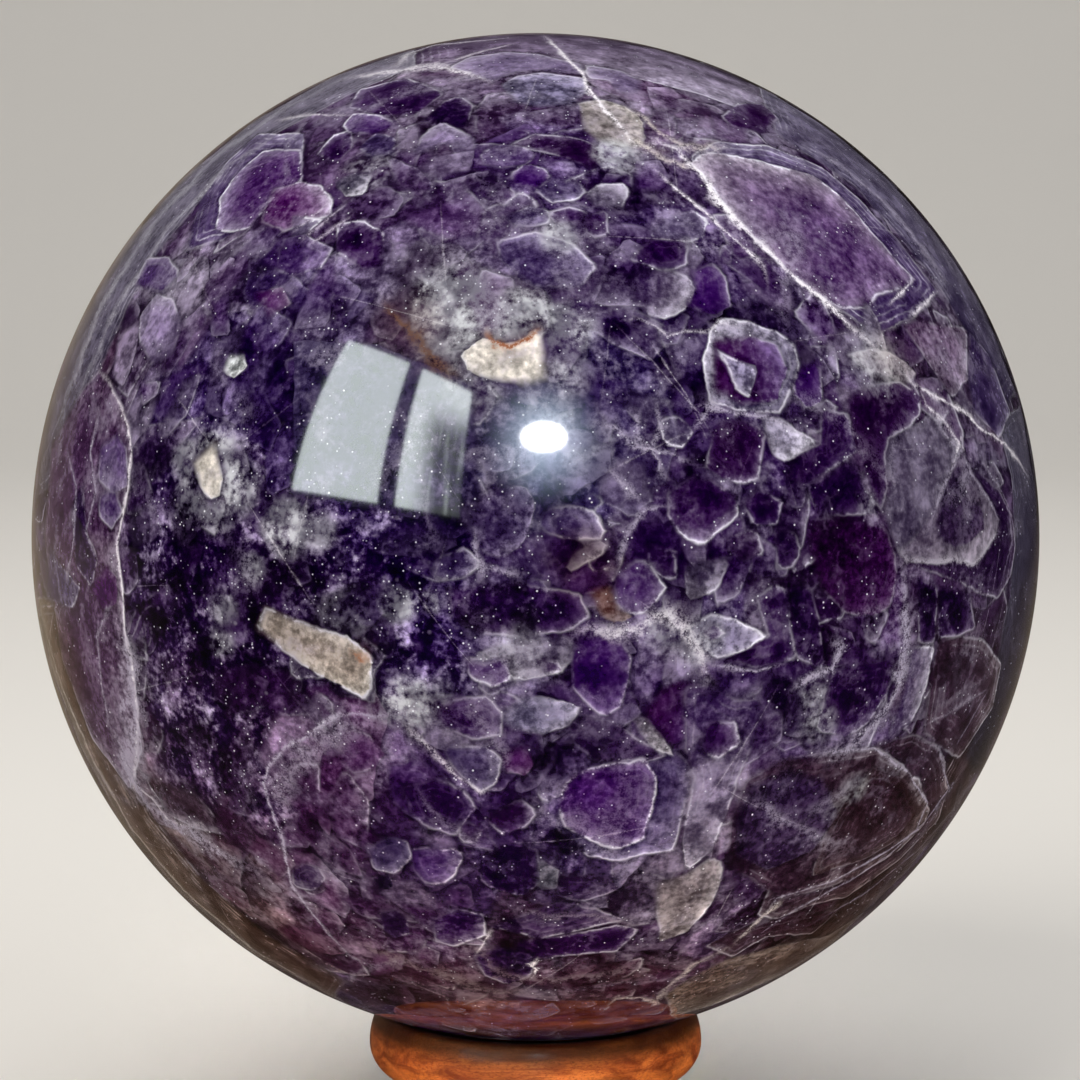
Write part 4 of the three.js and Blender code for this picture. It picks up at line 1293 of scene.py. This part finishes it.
def frost_over(colour, maps):
    """Frosty quartz, milky veils, threads and smoke; along the lower outline the smoke is painted edge
    light.
    """
    clouds = maps.clouds
    dusted = ease(shared(maps.fine, clouds[0], 0.5), 0.34, 0.6)
    dusted = times(dusted, ease(maps.quartz, 0.0, 0.9, 0.0, 0.9))
    dust = blend(ease(clouds[1], 0.38, 0.62), paint(DUST), maps.frost)
    colour = blend(dusted, colour, dust)
    veil = ease(shared(maps.broad, clouds[2], 0.5), 0.45, 0.66)
    colour = blend(times(veil, ease(maps.milky, 0.0, 1.0, 0.03, 0.55)), colour, paint(VEIL))
    thread = calc("ABSOLUTE", times_plus(clouds[1], 2.0, -1.0))
    thread = calc("POWER", minus(1.0, thread, clamp=True), 14)
    thread = times(thread, ease(clouds[2], 0.42, 0.62, 0.0, 0.22))
    thread = times(thread, ease(maps.drusy, 0.2, 0.9, 1.0, 0.3))
    colour = blend(thread, colour, paint(THREAD))
    # Smoky brown, which along the lower outline is painted edge light
    return blend(times(maps.smoky, 0.6), colour, paint(SMOKE_AND_EDGE_LIGHT), "MULTIPLY")


def veins_over(colour, maps):
    """The veins, each swollen, shifted and broken up by noise."""
    tree = maps.place.id_data
    vein = vein_group()
    shift = times_plus(minus(maps.fine, 0.5), 2.0, times(minus(maps.clouds[2], 0.5), 4.0))
    thick = ease(maps.clouds[0], 0.3, 0.7, 0.45, 1.7)
    grainy = shared(maps.fine, maps.tiny, 0.6)
    for i in range(VEINS_MEETING):
        colour = apply(tree, vein, "Color", {
            "Under": colour, "Vein": attribute(tree, f"vein_{i}")["Vector"],
            "Tint": attribute(tree, f"tint_{i}")["Color"], "Warp": shift, "Thick": thick, "Fine": grainy,
        })
    return colour


def sparks_over(colour, maps):
    """Bright flecks, and smaller glints in the drusy and frosted zones."""
    dot, chances = speckles(maps.place, 1.9, 0.26, 0.08)
    rare = times_plus(maps.drusy, 0.05, chances[1])
    rare = times_plus(minus(maps.clouds[1], 0.5), 0.5, rare)
    dot = times(dot, ease(rare, 0.93, 0.99))
    colour = blend(times(dot, 0.85), colour, paint(FLECK))
    dot, chances = speckles(maps.place, 3.2, 0.36, 0.14)
    rare = times_plus(calc("MAXIMUM", maps.drusy, maps.quartz), 0.08, chances[2])
    rare = times_plus(minus(maps.clouds[2], 0.5), 0.7, rare)
    dot = times(dot, ease(rare, 0.94, 1.02))
    return blend(times(dot, 0.85), colour, paint(GLINT))


def into_light(colour):
    """Makes dark colours richer and pale ones greyer, then squares them into light."""
    tree = colour.id_data
    richness = ease(parted(colour, mode="HSV")[2], 0.02, 0.45, 1.85, 0.76)
    colour = node(tree, "HueSaturation", {"Color": colour, "Saturation": richness}).outputs[0]
    colour = blend(1.0, colour, opaque([1.06] * 3), "MULTIPLY")
    return node(tree, "Gamma", {"Color": colour, "Gamma": 2.3}).outputs[0]


def amethyst(settings):
    """Polished amethyst: crystals, veins, drusy and frosted zones cut by a glossy surface."""
    material = bpy.data.materials.new("Polished amethyst")
    tree = cleared(material)
    maps = stone_maps(tree, settings)
    colour = mottled_ground(maps)
    for lay_over in (crystals_over, shadows_over, frost_over, veins_over, sparks_over):
        colour = lay_over(colour, maps)
    rough = ease(maps.tiny, 0.3, 0.7, settings.polish, settings.polish * 1.5)
    shader = node(tree, "BsdfPrincipled", {"Base Color": into_light(colour), "Roughness": rough,
                                           "IOR": QUARTZ_IOR})
    node(tree, "OutputMaterial", {"Surface": shader.outputs[0]})
    return material


def lacquered_wood(settings):
    """Turned reddish wood under a thin clear lacquer, with painted shade towards the ball's seat."""
    material = bpy.data.materials.new("Lacquered wood")
    tree = cleared(material)
    place = scaled(node(tree, "TexCoord").outputs["Object"], 1 / MM)
    figure = noise(stretched(place, (0.12, 0.5, 1.0)), 0.9, 4.0, 0.6, 0.8)["Fac"]
    pores = noise(stretched(place, (0.7, 1.0, 2.0)), 3.4, 4.0, 0.75)["Fac"]
    dark = opaque(settings.dark_colour)
    colour = blend(ease(figure, 0.3, 0.7), dark, opaque(settings.light_colour))
    colour = blend(ease(pores, 0.46, 0.66, 0.0, 0.75), colour, dark)
    # Painted shade: the rim turns dark towards the seat, where the ball keeps the light off
    painted_shade_near_ball = ease(axes(place)[2], 11.9, 13.9, 0.0, 0.9)
    colour = blend(painted_shade_near_ball, colour, opaque(linear(PAINTED_SHADE_WOOD)))
    bump = node(tree, "Bump", {"Height": pores, "Strength": 0.5, "Distance": 0.2 * MM})
    shader = node(tree, "BsdfPrincipled", {
        "Base Color": colour, "Normal": bump.outputs[0], "Roughness": 0.36, "IOR": LACQUER_IOR,
        "Specular IOR Level": 0.35, "Specular Tint": (1.0, 0.62, 0.36, 1.0),
        "Coat Weight": 0.05, "Coat Roughness": 0.15,
    })
    node(tree, "OutputMaterial", {"Surface": shader.outputs[0]})
    return material


# Settings


class BallSettings(bpy.types.PropertyGroup):
    diameter: bpy.props.FloatProperty(
        name="Diameter", description="Width of the polished ball", default=2 * BALL_RADIUS,
        min=0.03, unit="LENGTH")
    splits: bpy.props.IntProperty(
        name="Splits", description="How often the ball's starting cube is split in four", default=7,
        min=4, max=7)
    polish: bpy.props.FloatProperty(
        name="Polish", description="Roughness of the polished surface", default=0.045, min=0.01, max=0.5)
    line_colour: bpy.props.FloatVectorProperty(
        name="Lines", description="Colour of outlines and growth bands", subtype="COLOR",
        default=tuple(linear(LINE)), min=0, max=1)
    ink_colour: bpy.props.FloatVectorProperty(
        name="Ink", description="Colour of the darkest hollows", subtype="COLOR",
        default=tuple(linear(INK)), min=0, max=1)
    frost_colour: bpy.props.FloatVectorProperty(
        name="Frost", description="Colour of clouded quartz", subtype="COLOR",
        default=tuple(linear(FROST)), min=0, max=1)


class StandSettings(bpy.types.PropertyGroup):
    foot_radius: bpy.props.FloatProperty(
        name="Foot radius", description="Half the width of the foot", default=stand_high.x, unit="LENGTH")
    foot_rounding: bpy.props.FloatProperty(
        name="Foot rounding", description="Radius of the half-round edge of the foot",
        default=2 * MM, unit="LENGTH")
    neck_height: bpy.props.FloatProperty(
        name="Neck height", description="Height of the hollow between foot and rim",
        default=4 * MM, unit="LENGTH")
    neck_pull: bpy.props.FloatProperty(
        name="Neck pull", description="Radius that the hollow is drawn in towards",
        default=12.2 * MM, unit="LENGTH")
    rim_radius: bpy.props.FloatProperty(
        name="Rim radius", description="Half the width of the swelling rim", default=16.9 * MM,
        unit="LENGTH")
    seat_radius: bpy.props.FloatProperty(
        name="Seat radius", description="Outer edge of the dished seat", default=15 * MM, unit="LENGTH")
    seat_clearance: bpy.props.FloatProperty(
        name="Seat clearance", description="Gap between ball and seat", default=0.3 * MM, unit="LENGTH")
    bore_radius: bpy.props.FloatProperty(
        name="Bore radius", description="Half the width of the bore", default=9.5 * MM, unit="LENGTH")
    light_colour: bpy.props.FloatVectorProperty(
        name="Light wood", description="Colour of the pale grain", subtype="COLOR",
        default=tuple(linear(LIGHT_WOOD)), min=0, max=1)
    dark_colour: bpy.props.FloatVectorProperty(
        name="Dark wood", description="Colour of the dark grain", subtype="COLOR",
        default=tuple(linear(DARK_WOOD)), min=0, max=1)


class StageSettings(bpy.types.PropertyGroup):
    floor_colour: bpy.props.FloatVectorProperty(
        name="Floor", description="Colour of the plain floor", subtype="COLOR",
        default=tuple(linear(FLOOR)), min=0, max=1)
    mirrored_front: bpy.props.FloatVectorProperty(
        name="Mirrored front", description="Colour that the ball mirrors of the floor before it",
        subtype="COLOR", default=tuple(linear(MIRRORED_FRONT)), min=0, max=1)
    mirrored_back: bpy.props.FloatVectorProperty(
        name="Mirrored back", description="Colour that the ball mirrors of the floor behind it",
        subtype="COLOR", default=tuple(linear(MIRRORED_BACK)), min=0, max=1)
    floor_width: bpy.props.FloatProperty(
        name="Floor width", description="Width of the floor", default=3.0, unit="LENGTH")


# Modelling


def start_fresh():
    """Leaves edit mode and deselects everything."""
    if bpy.context.object and bpy.context.object.mode != "OBJECT":
        bpy.ops.object.mode_set(mode="OBJECT")
    bpy.ops.object.select_all(action="DESELECT")


def finish_piece(piece, material, node_name):
    """Settles a finished piece in place and tells the frame what it stands for."""
    bpy.ops.object.transform_apply(location=True, rotation=True, scale=True)
    piece.data.materials.clear()
    piece.data.materials.append(material)
    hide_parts(node_name)
    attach(piece, "root")


class AMETHYST_OT_ball(bpy.types.Operator):
    """Makes the polished ball from a cube that is split and rounded again and again"""

    bl_idname = "amethyst.ball"
    bl_label = "Polished Ball"
    bl_options = {"REGISTER", "UNDO"}

    def execute(self, context):
        settings = context.scene.amethyst_ball
        start_fresh()
        bpy.ops.mesh.primitive_cube_add(size=settings.diameter, location=BALL_CENTRE)
        ball = context.object
        ball.name = "polished_ball"
        for _ in range(settings.splits):
            self.split_and_round(ball, settings.diameter / 2)
        bpy.ops.object.shade_smooth()
        finish_piece(ball, amethyst(settings), BALL_NODE)
        stone = Stone(ball.data)
        ground = lay_ground(stone)
        zones = lay_zones(stone)
        lay_crystals(stone, ground, zones)
        lay_veins(stone)
        stone.write(ground, zones)
        return {"FINISHED"}

    @staticmethod
    def split_and_round(ball, radius):
        """Splits every face in four and pushes all corners out to the ball's surface."""
        split = ball.modifiers.new("Split", "SUBSURF")
        split.subdivision_type = "SIMPLE"
        split.levels = split.render_levels = 1
        bpy.ops.object.modifier_apply(modifier=split.name)
        rounding = ball.modifiers.new("Round", "CAST")
        rounding.cast_type = "SPHERE"
        rounding.factor = 1.0
        rounding.radius = 0.0
        rounding.use_radius_as_size = False
        rounding.size = radius
        bpy.ops.object.modifier_apply(modifier=rounding.name)


class AMETHYST_OT_stand(bpy.types.Operator):
    """Turns the ring stand by drawing a ring up and down its profile"""

    bl_idname = "amethyst.stand"
    bl_label = "Ring Stand"
    bl_options = {"REGISTER", "UNDO"}
    steps_round = 192

    def execute(self, context):
        settings = context.scene.amethyst_stand
        profile = self.profile(settings)
        start_fresh()
        bpy.ops.mesh.primitive_circle_add(vertices=self.steps_round, radius=profile[0][0],
                                          fill_type="NOTHING", location=(0, 0, profile[0][1]))
        stand = context.object
        stand.name = "turned_stand"
        bpy.ops.object.mode_set(mode="EDIT")
        bpy.ops.mesh.select_all(action="SELECT")
        for (radius, height), (next_radius, next_height) in zip(profile, profile[1:] + profile[:1]):
            bpy.ops.mesh.extrude_edges_move(
                TRANSFORM_OT_translate={"value": (0, 0, next_height - height)})
            share = next_radius / radius
            bpy.ops.transform.resize(value=(share, share, 1), center_override=(0, 0, next_height))
        bpy.ops.mesh.select_all(action="SELECT")
        bpy.ops.mesh.remove_doubles(threshold=0.00001)
        bpy.ops.mesh.normals_make_consistent(inside=False)
        bpy.ops.object.mode_set(mode="OBJECT")
        bpy.ops.object.shade_smooth_by_angle(angle=math.radians(40))
        finish_piece(stand, lacquered_wood(settings), STAND_NODE)
        return {"FINISHED"}

    @staticmethod
    def arc(centre, radius, first, last, steps):
        """Points on an arc, with angles in degrees from outwards."""
        angles = [math.radians(first + (last - first) * i / steps) for i in range(steps + 1)]
        return [(centre[0] + radius * math.cos(a), centre[1] + radius * math.sin(a)) for a in angles]

    @staticmethod
    def curve(points, steps):
        """Points on a Bezier curve, its ends left out."""
        made = []
        for i in range(1, steps):
            share = i / steps
            row = [Vector(point) for point in points]
            while len(row) > 1:
                row = [a.lerp(b, share) for a, b in zip(row, row[1:])]
            made.append(tuple(row[0]))
        return made

    def profile(self, s):
        """Radius and height of each ring from the table up, round the seat and down the bore."""
        hollow = BALL_RADIUS + s.seat_clearance
        under_rounding, upper_rounding, rim_rise = 3.2 * MM, 7 * MM, 3.1 * MM
        lip_width, chamfer = 0.85 * MM, 0.6 * MM
        foot_top = 2 * s.foot_rounding
        rim_bottom = foot_top + s.neck_height
        rim_middle = rim_bottom + under_rounding

        def seat_height(radius):
            return BALL_CENTRE.z - math.sqrt(hollow ** 2 - radius ** 2)

        foot = self.arc((s.foot_radius - s.foot_rounding, s.foot_rounding), s.foot_rounding, -90, 90, 24)
        neck = self.curve([(s.foot_radius - s.foot_rounding, foot_top), (s.neck_pull, foot_top),
                           (s.neck_pull, rim_bottom), (s.rim_radius - under_rounding, rim_bottom)], 20)
        under = self.arc((s.rim_radius - under_rounding, rim_middle), under_rounding, -90, 0, 16)
        lift = math.degrees(math.asin(rim_rise / upper_rounding))
        upper = self.arc((s.rim_radius - upper_rounding, rim_middle), upper_rounding, 0, lift, 8)[1:]
        outer = s.seat_radius + lip_width
        lip = self.curve([upper[-1], (outer, seat_height(outer)),
                          (s.seat_radius, seat_height(s.seat_radius))], 8)
        seat = [s.seat_radius + (s.bore_radius - s.seat_radius) * i / 8 for i in range(9)]
        seat = [(radius, seat_height(radius)) for radius in seat]
        bore = [(s.bore_radius, chamfer), (s.bore_radius + chamfer, 0.0)]
        return foot + neck + under + upper + lip + seat + bore


class AMETHYST_OT_stage(bpy.types.Operator):
    """Makes the pale floor, the soft studio lights and the camera"""

    bl_idname = "amethyst.stage"
    bl_label = "Studio"
    bl_options = {"REGISTER", "UNDO"}

    def execute(self, context):
        settings = context.scene.amethyst_stage
        self.floor(settings)
        self.lights()
        self.air()
        self.camera(context)
        return {"FINISHED"}

    @staticmethod
    def floor(settings):
        """A plain floor that curves up behind the ball."""
        start_fresh()
        bpy.ops.mesh.primitive_plane_add(size=settings.floor_width)
        floor = bpy.context.object
        floor.name = "floor"
        bpy.ops.object.mode_set(mode="EDIT")
        bpy.ops.mesh.select_all(action="DESELECT")
        bpy.ops.object.mode_set(mode="OBJECT")
        back = settings.floor_width / 2
        for edge in floor.data.edges:
            edge.select = all(floor.data.vertices[i].co.y > back - 0.01 for i in edge.vertices)
        bpy.ops.object.mode_set(mode="EDIT")
        bpy.ops.mesh.select_mode(type="EDGE")
        bpy.ops.mesh.extrude_edges_move(TRANSFORM_OT_translate={"value": (0, 0, back)})
        bpy.ops.object.mode_set(mode="OBJECT")
        sweep = floor.modifiers.new("Sweep", "BEVEL")
        sweep.width = back / 2
        sweep.segments = 16
        bpy.ops.object.modifier_apply(modifier=sweep.name)
        bpy.ops.object.shade_smooth()
        bpy.ops.object.transform_apply(location=True, rotation=True, scale=True)
        material = bpy.data.materials.new("Plain floor")
        tree = cleared(material)
        mirrored = node(tree, "LightPath").outputs["Is Glossy Ray"]
        across, away, up = axes(node(tree, "TexCoord").outputs["Object"])
        behind = times(times(ease(away, -0.12, 0.35), ease(across, 0.4, -0.3)), ease(up, 0.5, 0.1))
        seen = blend(behind, opaque(settings.mirrored_front), opaque(settings.mirrored_back))
        colour = blend(mirrored, opaque(settings.floor_colour), seen)
        shader = node(tree, "BsdfPrincipled", {"Base Color": colour, "Roughness": 0.7,
                                                "Specular IOR Level": 0.0})
        node(tree, "OutputMaterial", {"Surface": shader.outputs[0]})
        floor.data.materials.append(material)

    @staticmethod
    def light(name, place, size, power, colour, aim=BALL_CENTRE, mirrored=False, shape="RECTANGLE"):
        """A flat lamp, turned to the ball or to its aim; only mirrored ones show in the polish."""
        data = bpy.data.lights.new(name, "AREA")
        data.shape = shape
        data.size, data.size_y = size
        data.energy = power
        data.color = colour
        lamp = bpy.data.objects.new(name, data)
        bpy.context.scene.collection.objects.link(lamp)
        lamp.location = place
        lamp.rotation_euler = (Vector(aim) - Vector(place)).to_track_quat("-Z", "Y").to_euler()
        lamp.visible_camera = False
        lamp.visible_glossy = mirrored
        return lamp

    def lights(self):
        """Soft panels that only light, a window of two panes, a low lamp and a small one that glows."""
        self.light("key panel", (-0.5, -0.75, 0.75), (0.7, 0.7), 8.5, (1.0, 0.98, 0.95))
        self.light("fill panel", (0.8, -0.6, 0.45), (0.8, 0.8), 5, (0.95, 0.97, 1.0))
        self.light("top panel", (0, 0.1, 1.1), (0.9, 0.9), 5.5, (1.0, 1.0, 1.0))
        self.window_pane("left pane", -0.05, 0.50)
        self.window_pane("right pane", 0.62, 1.12, streaked=True)
        lamp = self.light("small lamp", (0.026, -0.8, 0.476), (0.152, 0.105), 1.2, (1.0, 1.0, 1.0),
                          mirrored=True, shape="ELLIPSE")
        lamp.visible_diffuse = False
        low_lamp = self.light("low lamp", (0.03, -0.6, 0.10), (0.06, 0.06), 0.012, (1.0, 0.85, 0.7),
                              aim=(0.0, -0.017, 0.0))
        low_lamp.data.spread = math.radians(6)
        glow = self.light("lamp glow", (0.026, -0.82, 0.478), (0.46, 0.52), 11.0, (0.62, 0.8, 1.0),
                          mirrored=True, shape="ELLIPSE")
        glow.visible_diffuse = False
        self.fade(glow.data)

    @staticmethod
    def fade(lamp):
        """Lets a lamp's light fade from its middle to its edge."""
        tree = cleared(lamp)
        place = node(tree, "NewGeometry").outputs["Parametric"]
        off = vector("DISTANCE", place, (0.5, 0.5, 0.0))["Value"]
        shine(tree, calc("POWER", minus(1.0, times(off, 2), clamp=True), 2))

    def window_pane(self, name, left, right, streaked=False):
        """One pane of an upright window that stands to the front left."""
        facing = math.radians(-53)
        away = Vector((math.sin(facing), -math.cos(facing), 0))
        beside = Vector((math.cos(facing), math.sin(facing), 0))
        distance, low, high = 1.5, 0.34, 1.40
        middle = away * distance + beside * (left + right) / 2
        middle.z = BALL_CENTRE.z + (low + high) / 2
        pane = self.light(name, middle, (right - left, high - low), 20, (0.9, 1.0, 0.98),
                          aim=middle - away, mirrored=True)
        pane.visible_diffuse = False
        if streaked:
            self.streak(pane.data)

    @staticmethod
    def streak(lamp):
        """Breaks one side of a lamp up into dim upright streaks."""
        tree = cleared(lamp)
        place = node(tree, "NewGeometry").outputs["Parametric"]
        across, height, _ = axes(place)
        streaks = ease(noise(stretched(place, (14.0, 1.4, 1.0)), 1.0, 4.0, 0.65)["Fac"], 0.26, 0.5)
        share = times(times(streaks, ease(across, 0.1, 0.6)), ease(height, 0.85, 0.5))
        corner = times(ease(across, 0.5, 1.0), ease(height, 0.6, 0.2))
        shine(tree, times_plus(calc("MAXIMUM", share, corner), -0.9, 1.0))

    @staticmethod
    def air():
        """Dim even light from all round."""
        world = bpy.data.worlds.new("Studio air")
        tree = cleared(world)
        mirrored = node(tree, "LightPath").outputs["Is Glossy Ray"]
        strength = times_plus(mirrored, -0.19, 0.2)
        background = node(tree, "Background", {"Color": (0.9, 0.93, 1.0, 1.0), "Strength": strength})
        node(tree, "OutputWorld", {"Surface": background.outputs[0]})
        bpy.context.scene.world = world
        bpy.context.scene.view_settings.view_transform = "Standard"

    @staticmethod
    def camera(context):
        """A camera at the picture's angle; the ball fills the frame as it does there."""
        eye, sight, *_ = view_axes()
        data = bpy.data.cameras.new("Camera")
        half_width = BALL_OUTLINE_PIXELS / (PHOTO_WIDTH / 2)
        spread = math.tan(math.asin(BALL_RADIUS / VIEW_DISTANCE))
        data.sensor_width = 36.0
        data.lens = half_width * data.sensor_width / (2 * spread)
        data.shift_x = (PHOTO_WIDTH / 2 - BALL_CENTRE_PIXELS[0]) / PHOTO_WIDTH
        data.shift_y = (BALL_CENTRE_PIXELS[1] - PHOTO_WIDTH / 2) / PHOTO_WIDTH
        data.clip_start = 0.01
        camera = bpy.data.objects.new("Camera", data)
        context.scene.collection.objects.link(camera)
        camera.location = eye
        camera.rotation_euler = sight.to_track_quat("-Z", "Y").to_euler()
        context.scene.camera = camera


class AMETHYST_PT_panel(bpy.types.Panel):
    """Lists the pieces and their settings"""

    bl_idname = "AMETHYST_PT_panel"
    bl_label = "Amethyst Ball"
    bl_space_type = "VIEW_3D"
    bl_region_type = "UI"
    bl_category = "Amethyst"

    def draw(self, context):
        layout = self.layout
        rows = ((AMETHYST_OT_ball, context.scene.amethyst_ball),
                (AMETHYST_OT_stand, context.scene.amethyst_stand),
                (AMETHYST_OT_stage, context.scene.amethyst_stage))
        for operator, settings in rows:
            box = layout.box()
            box.operator(operator.bl_idname)
            for name in settings.__annotations__:
                box.prop(settings, name)


CLASSES = (BallSettings, StandSettings, StageSettings, AMETHYST_OT_ball, AMETHYST_OT_stand,
           AMETHYST_OT_stage, AMETHYST_PT_panel)


def register():
    for each in CLASSES:
        bpy.utils.register_class(each)
    bpy.types.Scene.amethyst_ball = bpy.props.PointerProperty(type=BallSettings)
    bpy.types.Scene.amethyst_stand = bpy.props.PointerProperty(type=StandSettings)
    bpy.types.Scene.amethyst_stage = bpy.props.PointerProperty(type=StageSettings)


def unregister():
    del bpy.types.Scene.amethyst_stage
    del bpy.types.Scene.amethyst_stand
    del bpy.types.Scene.amethyst_ball
    for each in reversed(CLASSES):
        bpy.utils.unregister_class(each)


def main():
    """Makes every piece."""
    register()
    bpy.ops.amethyst.stage()
    bpy.ops.amethyst.stand()
    bpy.ops.amethyst.ball()


if __name__ == "__main__":
    main()
